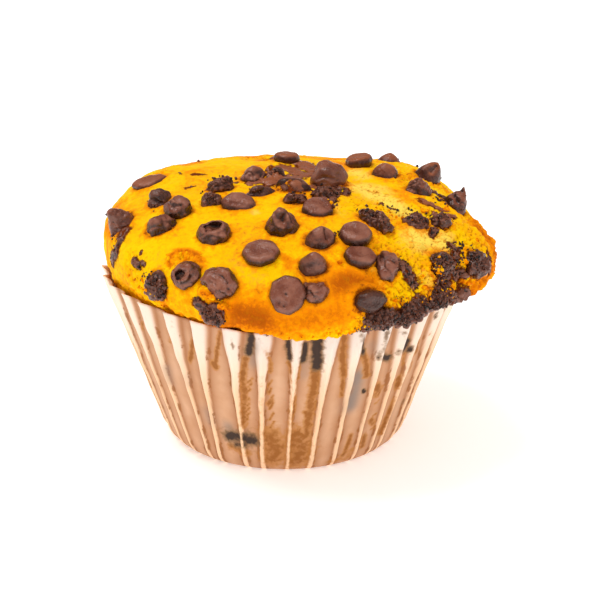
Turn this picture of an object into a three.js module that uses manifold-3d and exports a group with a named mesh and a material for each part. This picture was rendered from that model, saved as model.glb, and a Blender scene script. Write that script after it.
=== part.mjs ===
// A chocolate chip muffin in its pleated paper case, in millimetres, +Z up.
// The origin is the middle of the flat foot of the case. The front of the muffin faces -Y.
// Azimuths are in degrees: 0 is along +X, 90 is along +Y and 270 is the front.

import * as THREE from "three";
import { mergeVertices } from "three/addons/utils/BufferGeometryUtils.js";
import Module from "manifold-3d";

const wasm = await Module();
wasm.setup();

const { degToRad: toRadians, clamp } = THREE.MathUtils;

// Paper case: a flared cup of greaseproof paper with pinched pleats
const CASE_FOOT_RADIUS = 25.3;
const CASE_FLARE = 0.357;
const CASE_HEIGHT = 35.2;
const CASE_WALL = 0.35;
const CASE_CORNER_RADIUS = 4;
const CASE_TUCK_ANGLE = 35;
const PLEAT_COUNT = 36;
const PLEAT_PHASE = 3.5;
const PLEAT_DEPTH_LOW = 0.4;
const PLEAT_DEPTH_HIGH = 1.5;
const SCALLOP_RISE = 0.5;

// Sides where the rim of the case stands higher: spread in degrees, rise in mm
const CASE_RAISED_SIDES = [
  { azimuth: 214, spread: 28, rise: 2.8 },
  { azimuth: 350, spread: 18, rise: 1.2 },
  { azimuth: 90, spread: 40, rise: 0.8 },
];

// Crumb: fills the case and rises over its rim in a broad dome
const GAP = 0.3;
const CROWN_HEIGHT = 55;
const CRUMB_RADIUS = 38.8;
const SHOULDER_HEIGHT = 43;
const DOME_BREADTH = 2.6;
const DOME_ROUNDNESS = 2;
const OVERHANG = 1.2;
const LIP_DROP_SLOPE = 0.5;
const LIP_DROP_LIMIT = 1.8;
const EAVE_STEP = 0.1;

// Places where the edge of the crumb swells out or draws in: spread in degrees, sizes in mm
const EDGE_LOBES = [
  { azimuth: 345, spread: 12, out: 5.0, shoulder: -3.2, lip: 0.6, overhang: 4.2 },
  { azimuth: 32, spread: 22, out: 2.0, shoulder: 1.4, lip: 0.8, overhang: 1.4 },
  { azimuth: 110, spread: 30, out: -0.4, shoulder: 0.2, lip: 0.4, overhang: 0.4 },
  { azimuth: 185, spread: 30, out: -1.1, shoulder: 2.2, lip: 0, overhang: -2.4 },
  { azimuth: 277, spread: 4, out: 0.2, shoulder: 0, lip: 0, overhang: 0.5 },
  { azimuth: 288, spread: 32, out: 2.2, shoulder: -2.8, lip: 0, overhang: 2.3 },
];

// Swellings and hollows of the top: plan place, width and rise in mm
const TOP_LUMPS = [
  { x: 27, y: 18, width: 9, rise: 2.0 },
  { x: -29, y: 13, width: 9, rise: 2.4 },
  { x: -12, y: 6, width: 14, rise: 0.8 },
  { x: 10, y: 12, width: 10, rise: -0.9 },
  { x: 14, y: -24, width: 8, rise: 1.0 },
];

// The lip of the crumb is ragged: waves round the edge, each with a count and a size in mm
const LIP_WAVES = [
  { count: 7, size: 0.22 },
  { count: 12, size: 0.2 },
  { count: 19, size: 0.16 },
];

// The skin is uneven all over and craggy on the side where it tore in the oven
const BUMP_COUNT = 150;
const BUMP_REACH = 1.7;
const BUMP_WIDTH = 2.4;
const BUMP_WIDTH_RANGE = 2.4;
const SMOOTH_RISE = 0.3;
const CRAG_RISE = 0.9;
const CRAGGY_SIDE = { azimuth: 332, spread: 30 };
const SWELL_CENTRE_HEIGHT = 34;
const SWELL_FADE = 2;
const BUMP_SEED = 7;

// How finely the solids are divided
const CRUMB_SIDES = 72;
const CRUMB_REACHES = [
  0, 0.12, 0.24, 0.36, 0.48, 0.59, 0.69, 0.78, 0.86, 0.92, 0.965, 0.99, 1, 1.33, 1.67, 2,
];
const CRUMB_INNER_LEVELS = [1, 0.5, 0.12, 0];
const STEPS_PER_PLEAT = 4;
const PLEAT_STEPS = [1, 0.25, 0, 0.25];
const CASE_OUTER_LEVELS = [0, 0.03, 0.12, 0.5, 1];
const CASE_INNER_LEVELS = [1, 0.5, 0.12, 0];
const CHIP_SIDES = 8;
const MERGE_DISTANCE = 1e-4;

// Chip profiles from the bottom point to the top point, as shares of the half width and of the height.
// Sunk is the share of the height that lies in the crumb, and rough is how uneven the chip is.
const CHIP_KINDS = {
  drop: { profile: [[0, 0], [0.95, 0.06], [0.84, 0.45], [0.34, 0.82], [0, 1]], sunk: 0.22, rough: 0.06 },
  button: { profile: [[0, 0], [0.7, 0.3], [1, 0.72], [0.86, 1], [0, 0.96]], sunk: 0.5, rough: 0.05 },
  ring: { profile: [[0, 0], [0.85, 0.1], [1, 0.55], [0.62, 1], [0, 0.62]], sunk: 0.35, rough: 0.08 },
  chunk: { profile: [[0, 0], [0.8, 0.12], [1, 0.5], [0.6, 0.88], [0, 1]], sunk: 0.36, rough: 0.18 },
  slab: { profile: [[0, 0], [0.95, 0.2], [0.98, 0.7], [0.7, 1], [0, 0.98]], sunk: 0.4, rough: 0.12 },
};

// Chips of the front and the top, from left to right. Azimuth and reach give the place on the skin.
// Size is the width, depth and height in mm, and sink is how much deeper the chip is pressed in. Lean is
// towards a plan direction and turn about the chip's own axis, in degrees. What isn't given is 0.
const FRONT_CHIPS = [
  { azimuth: 197, reach: 0.92, kind: "drop", size: [6.6, 6.2, 5.2] },
  { azimuth: 171, reach: 0.76, kind: "slab", size: [7.4, 5.4, 1.7], lean: 9, toward: 350, turn: 10 },
  { azimuth: 213, reach: 0.67, kind: "chunk", size: [7, 5.4, 5.6], lean: 20, toward: 0, turn: -20 },
  { azimuth: 216, reach: 0.8, kind: "drop", size: [7.4, 6.4, 4.6], lean: 24, toward: 250, turn: 15 },
  { azimuth: 197, reach: 0.7, kind: "chunk", size: [5, 4.6, 4.6], lean: 10, toward: 180, turn: 30 },
  { azimuth: 230, reach: 1, kind: "chunk", size: [5, 6.2, 3.8], turn: -14 },
  { azimuth: 240, reach: 0.96, kind: "ring", size: [6.4, 5.4, 4.2], lean: 6, toward: 250, turn: 24 },
  { azimuth: 251, reach: 0.96, kind: "slab", size: [7.8, 6.4, 4], lean: 4, toward: 90, turn: -12 },
  { azimuth: 250, reach: 1.2, kind: "chunk", size: [5.6, 5, 3.2], turn: 30 },
  { azimuth: 241, reach: 0.72, kind: "ring", size: [7.4, 6.8, 4], lean: 6, toward: 240 },
  { azimuth: 237, reach: 0.43, kind: "slab", size: [7.2, 5.8, 3.4], lean: 22, toward: 280, turn: -12 },
  { azimuth: 219, reach: 0.49, kind: "chunk", size: [4.6, 4.2, 3.6], turn: 40 },
  { azimuth: 202, reach: 0.37, kind: "slab", size: [5.6, 4.6, 3.6], lean: 14, toward: 150, turn: 10 },
  { azimuth: 241, reach: 0.26, kind: "chunk", size: [6.4, 3, 3.2], turn: 22 },
  { azimuth: 182, reach: 0.17, kind: "chunk", size: [5.4, 4.8, 4], lean: 12, toward: 180 },
  { azimuth: 165, reach: 0.05, kind: "ring", size: [4.8, 4.6, 3.8], lean: 24, toward: 270 },
  { azimuth: 88, reach: 0.38, kind: "button", size: [5.6, 5.2, 3.8] },
  { azimuth: 285, reach: 0.16, kind: "slab", size: [7.4, 5, 3.2], lean: 16, toward: 280, turn: -8 },
  { azimuth: 280, reach: 0.32, kind: "chunk", size: [5.6, 3.4, 3] },
  { azimuth: 269, reach: 0.59, kind: "drop", size: [7.2, 6.8, 5.8], lean: 4, toward: 150 },
  { azimuth: 262, reach: 0.8, kind: "button", size: [7.6, 7.4, 3.6], lean: 4, toward: 90 },
  { azimuth: 271, reach: 0.965, kind: "button", size: [7.2, 7.8, 5], lean: 8, toward: 200 },
  { azimuth: 279, reach: 0.955, kind: "chunk", size: [5.2, 4.6, 4.2], turn: 12 },
  { azimuth: 279, reach: 0.855, kind: "drop", size: [6.6, 5, 5.2], lean: 14, toward: 100, turn: 14 },
  { azimuth: 1, reach: 0.22, kind: "chunk", size: [8, 7, 6], lean: 10, toward: 270, turn: 12 },
  { azimuth: 291, reach: 0.45, kind: "button", size: [7.4, 6.4, 4.4], lean: 24, toward: 285, turn: 20 },
  { azimuth: 311, reach: 0.31, kind: "chunk", size: [6, 4.6, 3.6], turn: 20 },
  { azimuth: 284, reach: 0.71, kind: "drop", size: [7.6, 5.8, 5.2], lean: 10, toward: 60, turn: 20 },
  { azimuth: 298, reach: 0.73, kind: "button", size: [7, 6.6, 4.8], lean: 8, toward: 200 },
  { azimuth: 295, reach: 0.85, kind: "button", size: [7, 6, 4], lean: 16, toward: 110 },
  { azimuth: 303, reach: 0.905, kind: "chunk", size: [5.2, 6.4, 4.4], turn: 14 },
  { azimuth: 294, reach: 0.99, kind: "slab", size: [7.4, 4.8, 4.2], turn: 4 },
  { azimuth: 312, reach: 0.67, kind: "chunk", size: [9.2, 4, 3.4], turn: -38 },
  { azimuth: 40, reach: 0.52, kind: "button", size: [6, 6, 4.2], lean: 10, toward: 200 },
  { azimuth: 42, reach: 0.76, kind: "drop", size: [5.6, 5.4, 3.4], sink: 0.6 },
  { azimuth: 18, reach: 0.55, kind: "drop", size: [6.2, 6, 3.8], lean: 14, toward: 250 },
  { azimuth: 20, reach: 0.8, kind: "drop", size: [6.2, 5.6, 5.6], lean: 12, toward: 0 },
  { azimuth: 0, reach: 0.66, kind: "drop", size: [6.2, 6, 4.6], lean: 16, toward: 240 },
  { azimuth: 358, reach: 0.83, kind: "drop", size: [6, 5.2, 6.4], lean: 16, toward: 90, turn: -30 },
  { azimuth: 337, reach: 0.78, kind: "slab", size: [4.6, 3.8, 2.8] },
  { azimuth: 329, reach: 0.74, kind: "chunk", size: [5.4, 4.6, 3.2], turn: 10 },
  { azimuth: 322, reach: 0.96, kind: "slab", size: [5.4, 5, 3.6], turn: 40 },
  { azimuth: 335, reach: 0.98, kind: "slab", size: [5.4, 6, 4.2] },
  { azimuth: 297, reach: 1.24, kind: "chunk", size: [7.4, 4.6, 3.8], turn: 10 },
  { azimuth: 308, reach: 1.24, kind: "chunk", size: [8.2, 4.8, 3.8], turn: 14 },
  { azimuth: 320, reach: 1.2, kind: "chunk", size: [8, 4.4, 3.8], turn: 10 },
];

// The back carries chips of the same kinds, in four loose rings below the skyline of the dome. Those of the
// higher rings are pressed in deeper. Each size and the lean are given as the least and the most.
const BACK_SEED = 41;
const BACK_CHIP_COUNT = 12;
const BACK_AZIMUTHS = [38, 158];
const BACK_RINGS = [
  { reach: 0.9, sink: 2 },
  { reach: 1.3, sink: 0.2 },
  { reach: 0.99, sink: 0.8 },
  { reach: 1.4, sink: 0 },
];
const BACK_REACH_SPREAD = 0.06;
const BACK_KINDS = ["drop", "button", "ring", "chunk", "slab"];
const BACK_SIZES = [
  [5.6, 7.6],
  [5, 7],
  [3.6, 4.8],
];
const BACK_LEAN = [0, 14];

// The multiplier, step and range of the draw of repeatable random numbers
const RANDOM_FACTOR = 1664525;
const RANDOM_STEP = 1013904223;
const RANDOM_RANGE = 2 ** 32;

// How far apart the points are from which the slope of the skin is taken: a share of the reach, degrees
const SLOPE_REACH = 0.01;
const SLOPE_AZIMUTH = 1;

// How much of a chip's unevenness goes into its levels
const LEVEL_UNEVEN = 0.5;

function bell(distance, spread) {
  return Math.exp(-0.5 * (distance / spread) ** 2);
}

// The angle from b to a, between -180 and 180 degrees
function turnBetween(a, b) {
  return THREE.MathUtils.euclideanModulo(a - b + 180, 360) - 180;
}

// A repeatable random number between 0 and 1
function makeRandom(seed) {
  let state = seed;
  return () => {
    state = (state * RANDOM_FACTOR + RANDOM_STEP) % RANDOM_RANGE;
    return state / RANDOM_RANGE;
  };
}

// A closed geometry with shared corners, no empty faces and its faces pointing out
function closeMesh(geometry) {
  geometry.deleteAttribute("normal");
  geometry.deleteAttribute("uv");
  const merged = mergeVertices(geometry, MERGE_DISTANCE);
  const corner = (i) => new THREE.Vector3().fromBufferAttribute(merged.attributes.position, i);
  const faces = [];
  let volume = 0;
  for (let i = 0; i < merged.index.count; i += 3) {
    const face = [merged.index.getX(i), merged.index.getX(i + 1), merged.index.getX(i + 2)];
    if (new Set(face).size < 3) continue;
    const [a, b, c] = face.map(corner);
    volume += a.dot(b.cross(c));
    faces.push(face);
  }
  merged.setIndex(faces.flatMap(([a, b, c]) => (volume < 0 ? [a, c, b] : [a, b, c])));
  return merged;
}

// A lathe turned about Z from pole to pole, each point of which goes where place(azimuth, row) says
function latheGrid(rows, sides, place) {
  const profile = Array.from({ length: rows }, (_, row) => new THREE.Vector2(row % (rows - 1) ? 1 : 0, row));
  const grid = new THREE.LatheGeometry(profile, sides);
  const position = grid.attributes.position;
  for (let i = 0; i < position.count; i += 1) {
    const azimuth = (360 * (Math.floor(i / rows) % sides)) / sides;
    const { r, z } = place(azimuth, i % rows);
    position.setXYZ(i, r * Math.cos(toRadians(azimuth)), r * Math.sin(toRadians(azimuth)), z);
  }
  return closeMesh(grid);
}

// Radius over the ridges of the case at a height, rounded in to the flat foot
function caseRidgeRadius(z) {
  const below = clamp(1 - z / CASE_CORNER_RADIUS, 0, 1);
  const tuck = CASE_CORNER_RADIUS * Math.tan(toRadians(CASE_TUCK_ANGLE)) * (1 - Math.sqrt(1 - below * below));
  return CASE_FOOT_RADIUS + CASE_FLARE * z - tuck;
}

// Pleats are shallow at the foot and open out towards the rim
function pleatDepth(z) {
  return THREE.MathUtils.lerp(PLEAT_DEPTH_LOW, PLEAT_DEPTH_HIGH, Math.max(0, z) / CASE_HEIGHT);
}

function caseInnerRadius(z) {
  return caseRidgeRadius(z) - pleatDepth(z) - CASE_WALL;
}

function caseRimHeight(azimuth) {
  const share = (side) => bell(turnBetween(azimuth, side.azimuth), side.spread);
  return CASE_RAISED_SIDES.reduce((height, side) => height + side.rise * share(side), CASE_HEIGHT);
}

// A point of the case before its phase turns it: row 0 is the middle of the foot, then up the pleated
// outside and down the inside
function casePoint(azimuth, row) {
  const step = Math.round((azimuth * PLEAT_COUNT * STEPS_PER_PLEAT) / 360) % STEPS_PER_PLEAT;
  const ridge = PLEAT_STEPS[step];
  const rim = caseRimHeight(azimuth + PLEAT_PHASE) + SCALLOP_RISE * ridge;
  if (row === 0) return { r: 0, z: 0 };
  if (row <= CASE_OUTER_LEVELS.length) {
    const z = rim * CASE_OUTER_LEVELS[row - 1];
    const groove = z > 0 ? pleatDepth(z) * (1 - ridge) : 0;
    return { r: caseRidgeRadius(z) - groove, z };
  }
  const inner = row - CASE_OUTER_LEVELS.length - 1;
  if (inner === CASE_INNER_LEVELS.length) return { r: 0, z: CASE_WALL };
  const z = Math.max(CASE_WALL, rim * CASE_INNER_LEVELS[inner]);
  return { r: caseInnerRadius(z), z };
}

function makeCase() {
  const rows = CASE_OUTER_LEVELS.length + CASE_INNER_LEVELS.length + 2;
  return latheGrid(rows, PLEAT_COUNT * STEPS_PER_PLEAT, casePoint);
}

// The edge of the crumb at an azimuth: its widest radius and that place's height, and the lip over the case
function crumbEdge(azimuth) {
  const edge = {
    radius: CRUMB_RADIUS,
    shoulder: SHOULDER_HEIGHT,
    lip: caseRimHeight(azimuth) + SCALLOP_RISE + GAP,
    overhang: OVERHANG,
  };
  for (const lobe of EDGE_LOBES) {
    const share = bell(turnBetween(azimuth, lobe.azimuth), lobe.spread);
    edge.radius += lobe.out * share;
    edge.shoulder += lobe.shoulder * share;
    edge.lip += lobe.lip * share;
    edge.overhang += lobe.overhang * share;
  }
  const wave = ({ count, size }) => size * Math.sin(toRadians(azimuth * count));
  const ragged = LIP_WAVES.reduce((sum, lipWave) => sum + wave(lipWave), 0);
  edge.eaveRadius = caseRidgeRadius(edge.lip) + 2 * GAP;
  edge.lipRadius = caseInnerRadius(edge.lip) - GAP + Math.max(0, edge.overhang + ragged);
  edge.drop = clamp(LIP_DROP_SLOPE * (edge.lipRadius - edge.eaveRadius) + ragged, 0, LIP_DROP_LIMIT);
  return edge;
}

function pointAt(azimuth, { r, z }) {
  return new THREE.Vector3(r * Math.cos(toRadians(azimuth)), r * Math.sin(toRadians(azimuth)), z);
}

// The smooth form of the crumb. Reach runs from 0 at the crown to 1 at the widest place and 2 at the lip.
function crumbForm(azimuth, reach) {
  const edge = crumbEdge(azimuth);
  if (reach > 1) {
    const bend = toRadians(90 * (reach - 1));
    return {
      r: THREE.MathUtils.lerp(edge.lipRadius, edge.radius, Math.cos(bend)),
      z: THREE.MathUtils.lerp(edge.shoulder, edge.lip - edge.drop, Math.sin(bend)),
    };
  }
  const r = reach * edge.radius;
  const dome = (1 - reach ** DOME_BREADTH) ** (1 / DOME_ROUNDNESS);
  const { x, y } = pointAt(azimuth, { r, z: 0 });
  const lumps = TOP_LUMPS.map((lump) => lump.rise * bell(Math.hypot(x - lump.x, y - lump.y), lump.width));
  const rise = lumps.reduce((sum, value) => sum + value, 0) * dome;
  return { r, z: THREE.MathUtils.lerp(edge.shoulder, CROWN_HEIGHT, dome) + rise };
}

// Bumps and crags, spread over the skin at random
function spreadBumps() {
  const random = makeRandom(BUMP_SEED);
  return Array.from({ length: BUMP_COUNT }, () => {
    const azimuth = 360 * random();
    const reach = BUMP_REACH * Math.sqrt(random());
    const craggy = bell(turnBetween(azimuth, CRAGGY_SIDE.azimuth), CRAGGY_SIDE.spread) * Math.min(1, reach);
    return {
      middle: pointAt(azimuth, crumbForm(azimuth, reach)),
      width: BUMP_WIDTH + BUMP_WIDTH_RANGE * random(),
      rise: (2 * random() - 1) * THREE.MathUtils.lerp(SMOOTH_RISE, CRAG_RISE, craggy),
    };
  });
}

const BUMPS = spreadBumps();

// The skin of the crumb: the smooth form pushed out or in by the bumps, which fade out at the lip
function crumbSkin(azimuth, reach) {
  const { r, z } = crumbForm(azimuth, reach);
  const middle = pointAt(azimuth, { r, z });
  const share = (bump) => bell(middle.distanceTo(bump.middle), bump.width);
  const swell = BUMPS.reduce((sum, bump) => sum + bump.rise * share(bump), 0);
  const push = swell * clamp(SWELL_FADE * (2 - reach), 0, 1);
  const distance = Math.hypot(r, z - SWELL_CENTRE_HEIGHT);
  return { r: r * (1 + push / distance), z: z + ((z - SWELL_CENTRE_HEIGHT) * push) / distance };
}

// A point of the crumb: row 0 is the crown, then out to the lip, in under the eave and down inside the case
function crumbPoint(azimuth, row) {
  if (row < CRUMB_REACHES.length) return crumbSkin(azimuth, CRUMB_REACHES[row]);
  const edge = crumbEdge(azimuth);
  const inner = row - CRUMB_REACHES.length - 1;
  if (inner < 0) return { r: Math.min(edge.eaveRadius, edge.lipRadius - EAVE_STEP), z: edge.lip };
  const bottom = CASE_WALL + GAP;
  if (inner === CRUMB_INNER_LEVELS.length) return { r: 0, z: bottom };
  const z = THREE.MathUtils.lerp(bottom, edge.lip - EAVE_STEP, CRUMB_INNER_LEVELS[inner]);
  return { r: caseInnerRadius(z) - GAP, z };
}

function makeCrumb() {
  const rows = CRUMB_REACHES.length + CRUMB_INNER_LEVELS.length + 2;
  return latheGrid(rows, CRUMB_SIDES, crumbPoint);
}

function spreadBackChips() {
  const random = makeRandom(BACK_SEED);
  const between = ([least, most]) => THREE.MathUtils.lerp(least, most, random());
  const [from, to] = BACK_AZIMUTHS;
  return Array.from({ length: BACK_CHIP_COUNT }, (_, i) => {
    const ring = BACK_RINGS[i % BACK_RINGS.length];
    return {
      azimuth: THREE.MathUtils.lerp(from, to, (i + random()) / BACK_CHIP_COUNT),
      reach: ring.reach + BACK_REACH_SPREAD * (random() - 0.5),
      sink: ring.sink,
      kind: BACK_KINDS[Math.floor(random() * BACK_KINDS.length)],
      size: BACK_SIZES.map(between),
      lean: between(BACK_LEAN),
      toward: 360 * random(),
      turn: 360 * random(),
    };
  });
}

// Where a chip sits: its middle on the skin and its axis on the skin's normal, then leaned and turned.
// Its width runs along X, as nearly as the slope of the skin allows. Sink is how much deeper it is pressed
// in, in mm.
function chipPlace({ azimuth, reach, sink = 0, lean = 0, toward = 0, turn = 0 }) {
  const skin = (a, b) => pointAt(a, crumbSkin(a, b));
  const outward = skin(azimuth, reach + SLOPE_REACH).sub(skin(azimuth, reach - SLOPE_REACH));
  const around = skin(azimuth + SLOPE_AZIMUTH, reach).sub(skin(azimuth - SLOPE_AZIMUTH, reach));
  const normal = outward.cross(around).normalize();
  const across = new THREE.Vector3(1, 0, 0).projectOnPlane(normal).normalize();
  const basis = new THREE.Matrix4().makeBasis(across, normal.clone().cross(across), normal);
  const leanAxis = new THREE.Vector3(-Math.sin(toRadians(toward)), Math.cos(toRadians(toward)), 0);
  return new THREE.Matrix4()
    .makeRotationAxis(leanAxis, toRadians(lean))
    .multiply(basis)
    .multiply(new THREE.Matrix4().makeRotationZ(toRadians(turn)))
    .setPosition(skin(azimuth, reach).addScaledVector(normal, -sink));
}

// One chip about its own axis, with `grow` added all round
function makeChip({ kind, size: [wide, deep, tall] }, seed, grow) {
  const { profile, sunk, rough } = CHIP_KINDS[kind];
  const geometry = new THREE.LatheGeometry(profile.map(([r, z]) => new THREE.Vector2(r, z)), CHIP_SIDES);
  const random = makeRandom(seed);
  const uneven = Array.from({ length: profile.length * CHIP_SIDES }, () => 1 + rough * (2 * random() - 1));
  const position = geometry.attributes.position;
  for (let i = 0; i < position.count; i += 1) {
    const row = i % profile.length;
    const side = row % (profile.length - 1) ? Math.floor(i / profile.length) % CHIP_SIDES : 0;
    const factor = uneven[row * CHIP_SIDES + side];
    const level = position.getY(i) * (1 + LEVEL_UNEVEN * (factor - 1));
    const x = position.getX(i) * factor * (wide / 2 + grow);
    const y = position.getZ(i) * factor * (deep / 2 + grow);
    position.setXYZ(i, x, y, (level - 0.5) * (tall + 2 * grow) + (0.5 - sunk) * tall);
  }
  return closeMesh(geometry);
}

function toSolid(geometry) {
  const vertProperties = new Float32Array(geometry.attributes.position.array);
  const triVerts = new Uint32Array(geometry.index.array);
  return new wasm.Manifold(new wasm.Mesh({ numProp: 3, vertProperties, triVerts }));
}

function toGeometry(solid) {
  const mesh = solid.getMesh();
  const geometry = new THREE.BufferGeometry();
  geometry.setAttribute("position", new THREE.BufferAttribute(mesh.vertProperties, 3));
  geometry.setIndex(new THREE.BufferAttribute(mesh.triVerts, 1));
  return geometry;
}

// The largest piece that is left after a cut
function largestPiece(solid) {
  return solid.decompose().reduce((best, piece) => (piece.volume() > best.volume() ? piece : best));
}

const crumbMaterial = new THREE.MeshStandardMaterial({ color: "#f2a91e", roughness: 0.75, metalness: 0 });
const paperMaterial = new THREE.MeshStandardMaterial({ color: "#e9c5a0", roughness: 0.7, metalness: 0 });
const chocolateMaterial = new THREE.MeshStandardMaterial({ color: "#5a3528", roughness: 0.45, metalness: 0 });

const group = new THREE.Group();

function addPiece(name, geometry, material, place = new THREE.Matrix4()) {
  const piece = new THREE.Mesh(geometry, material);
  piece.name = name;
  piece.applyMatrix4(place);
  group.add(piece);
}

// Each chip leaves a pocket in the crumb and in the chips that lean on it
let crumb = toSolid(makeCrumb());
const pockets = [];
[...FRONT_CHIPS, ...spreadBackChips()].forEach((chip, i) => {
  const seed = i + 1;
  const place = chipPlace(chip);
  const whole = toSolid(makeChip(chip, seed, 0).applyMatrix4(place));
  const solid = largestPiece(pockets.reduce((rest, pocket) => rest.subtract(pocket), whole));
  const pocket = toSolid(makeChip(chip, seed, GAP).applyMatrix4(place));
  pockets.push(pocket);
  crumb = crumb.subtract(pocket);
  const shape = toGeometry(solid).applyMatrix4(place.clone().invert());
  addPiece(`${chip.kind}_chip_${String(seed).padStart(2, "0")}`, shape, chocolateMaterial, place);
});

addPiece("muffin", toGeometry(largestPiece(crumb)), crumbMaterial);
const pleatTurn = new THREE.Matrix4().makeRotationZ(toRadians(PLEAT_PHASE));
addPiece("paper_case", makeCase(), paperMaterial, pleatTurn);

export default group;
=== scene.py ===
"""A chocolate chip muffin in its pleated paper case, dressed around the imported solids."""

import functools
import math
import random

import bmesh
import bpy
import numpy as np
from mathutils import Euler, Matrix, Vector, noise
from mathutils.bvhtree import BVHTree


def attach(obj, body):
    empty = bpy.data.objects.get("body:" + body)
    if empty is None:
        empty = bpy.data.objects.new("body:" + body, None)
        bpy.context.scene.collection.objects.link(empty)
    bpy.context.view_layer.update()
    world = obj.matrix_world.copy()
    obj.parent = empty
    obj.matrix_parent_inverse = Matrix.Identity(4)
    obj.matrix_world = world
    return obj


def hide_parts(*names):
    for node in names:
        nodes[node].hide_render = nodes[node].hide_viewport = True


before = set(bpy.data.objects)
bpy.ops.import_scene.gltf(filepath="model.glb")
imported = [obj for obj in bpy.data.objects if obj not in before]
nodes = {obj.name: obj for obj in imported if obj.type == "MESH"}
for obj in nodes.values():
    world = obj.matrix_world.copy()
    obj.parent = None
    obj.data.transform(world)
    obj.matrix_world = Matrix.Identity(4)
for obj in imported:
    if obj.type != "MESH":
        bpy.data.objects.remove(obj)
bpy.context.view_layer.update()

MM = 0.001

# Corners of a mesh that are closer than this are one
MERGE_DISTANCE = 0.002 * MM

# The camera of the photograph: how high it looks from, how far in mm it stands from its target, the target
# in metres and the pixel that shows it, and how many pixels a mm takes up there
CAMERA_ELEVATION = math.radians(22.5)
CAMERA_DISTANCE = 450
CAMERA_TARGET = Vector((0, 0, 18.5 * MM))
TARGET_PX = (284.5, 344.0)
PX_PER_MM = 4.67
FOCAL_PX = PX_PER_MM * CAMERA_DISTANCE
FRAME_PX = 600
SENSOR_MM = 36
NEAR_CLIP = 0.01
FAR_CLIP = 20

# The paper case in mm and degrees, as in the solids, apart from its thinner wall and slightly deeper pleats.
# Its radius grows by FLARE with each mm of height. RAISED_SIDES are azimuth, spread and rise.
FOOT_RADIUS = 25.3
FLARE = 0.357
CASE_HEIGHT = 35.2
PAPER_WALL = 0.22
CORNER_RADIUS = 4.0
TUCK_ANGLE = 35
PLEATS = 36
PLEAT_DEPTH_LOW = 0.4
PLEAT_DEPTH_HIGH = 1.6
RAISED_SIDES = ((214, 28, 2.8), (350, 18, 1.2), (90, 40, 0.8))
CRUMB_GAP = 0.65


def linear(code):
    """An sRGB hex colour as linear red, green, blue and full alpha."""
    parts = [int(code[i:i + 2], 16) / 255 for i in (1, 3, 5)]
    return tuple(c / 12.92 if c <= 0.04045 else ((c + 0.055) / 1.055) ** 2.4 for c in parts) + (1.0,)


def smooth_step(low, high, values):
    """From 0 at the first value to 1 at the second, which may be the lower one, and level beyond them."""
    share = np.clip((values - low) / (high - low), 0, 1)
    return share * share * (3 - 2 * share)


def turn_between(a, b):
    """The angle from b to a, between -180 and 180 degrees."""
    return (a - b + 180) % 360 - 180


# Camera and the way from a pixel of the photograph to a place on a surface

view_back = Vector((0, -math.cos(CAMERA_ELEVATION), math.sin(CAMERA_ELEVATION)))
view_forward = -view_back
view_right = Vector((1, 0, 0))
view_up = view_right.cross(view_forward)
camera_place = CAMERA_TARGET + view_back * (CAMERA_DISTANCE * MM)


def pixel_ray(pixel):
    """The direction in which the camera sees a pixel."""
    across, down = pixel[0] - TARGET_PX[0], pixel[1] - TARGET_PX[1]
    return (view_forward * FOCAL_PX + view_right * across - view_up * down).normalized()


def seen_at(tree, pixel, turn=0):
    """The place and normal of a surface where a pixel of the photograph shows it, or where the same pixel
    would show it with the camera carried round the muffin by that many degrees. Both are None off it."""
    around = Matrix.Rotation(math.radians(turn), 3, "Z")
    return tree.ray_cast(around @ camera_place, around @ pixel_ray(pixel))[:2]


def place_camera():
    """Puts the camera where the photograph was taken from."""
    data = bpy.data.cameras.new("photo_camera")
    data.sensor_width = SENSOR_MM
    data.lens = SENSOR_MM * FOCAL_PX / FRAME_PX
    camera = bpy.data.objects.new("photo_camera", data)
    bpy.context.scene.collection.objects.link(camera)
    camera.location = camera_place
    camera.rotation_euler = pixel_ray((FRAME_PX / 2, FRAME_PX / 2)).to_track_quat("-Z", "Y").to_euler()
    data.clip_start = NEAR_CLIP
    data.clip_end = FAR_CLIP
    bpy.context.scene.camera = camera


# Meshes

def new_object(name, mesh):
    """Adds an object with that mesh to the scene."""
    item = bpy.data.objects.new(name, mesh)
    bpy.context.scene.collection.objects.link(item)
    return item


def from_bmesh(name, bm):
    """Turns a finished bmesh into a mesh and frees it."""
    mesh = bpy.data.meshes.new(name)
    bm.to_mesh(mesh)
    bm.free()
    return mesh


def solid_bmesh(node):
    """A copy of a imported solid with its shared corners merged."""
    bm = bmesh.new()
    bm.from_mesh(nodes[node].data)
    bmesh.ops.remove_doubles(bm, verts=bm.verts, dist=MERGE_DISTANCE)
    return bm


def modified(mesh, *steps):
    """The mesh after a few modifiers, each given as its kind and its settings."""
    item = new_object("workpiece", mesh)
    for kind, settings in steps:
        modifier = item.modifiers.new(kind, kind)
        for key, value in settings.items():
            setattr(modifier, key, value)
    graph = bpy.context.evaluated_depsgraph_get()
    made = bpy.data.meshes.new_from_object(item.evaluated_get(graph))
    bpy.data.objects.remove(item)
    return made


def points_of(mesh):
    """The corners of a mesh, in metres, as rows of numbers."""
    values = np.empty(len(mesh.vertices) * 3, np.float32)
    mesh.vertices.foreach_get("co", values)
    return values.reshape(-1, 3).astype(float)


def normals_of(mesh):
    """The normals at the corners of a mesh, as rows of numbers."""
    values = np.empty(len(mesh.vertices) * 3, np.float32)
    mesh.vertex_normals.foreach_get("vector", values)
    return values.reshape(-1, 3).astype(float)


def move_points(mesh, points):
    """Moves the corners of a mesh to the given places, in metres."""
    mesh.vertices.foreach_set("co", points.astype(np.float32).ravel())
    mesh.update()


def edges_of(mesh):
    """The edges of a mesh, each as the numbers of its two corners."""
    values = np.empty(len(mesh.edges) * 2, np.int32)
    mesh.edges.foreach_get("vertices", values)
    return values.reshape(-1, 2)


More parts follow.
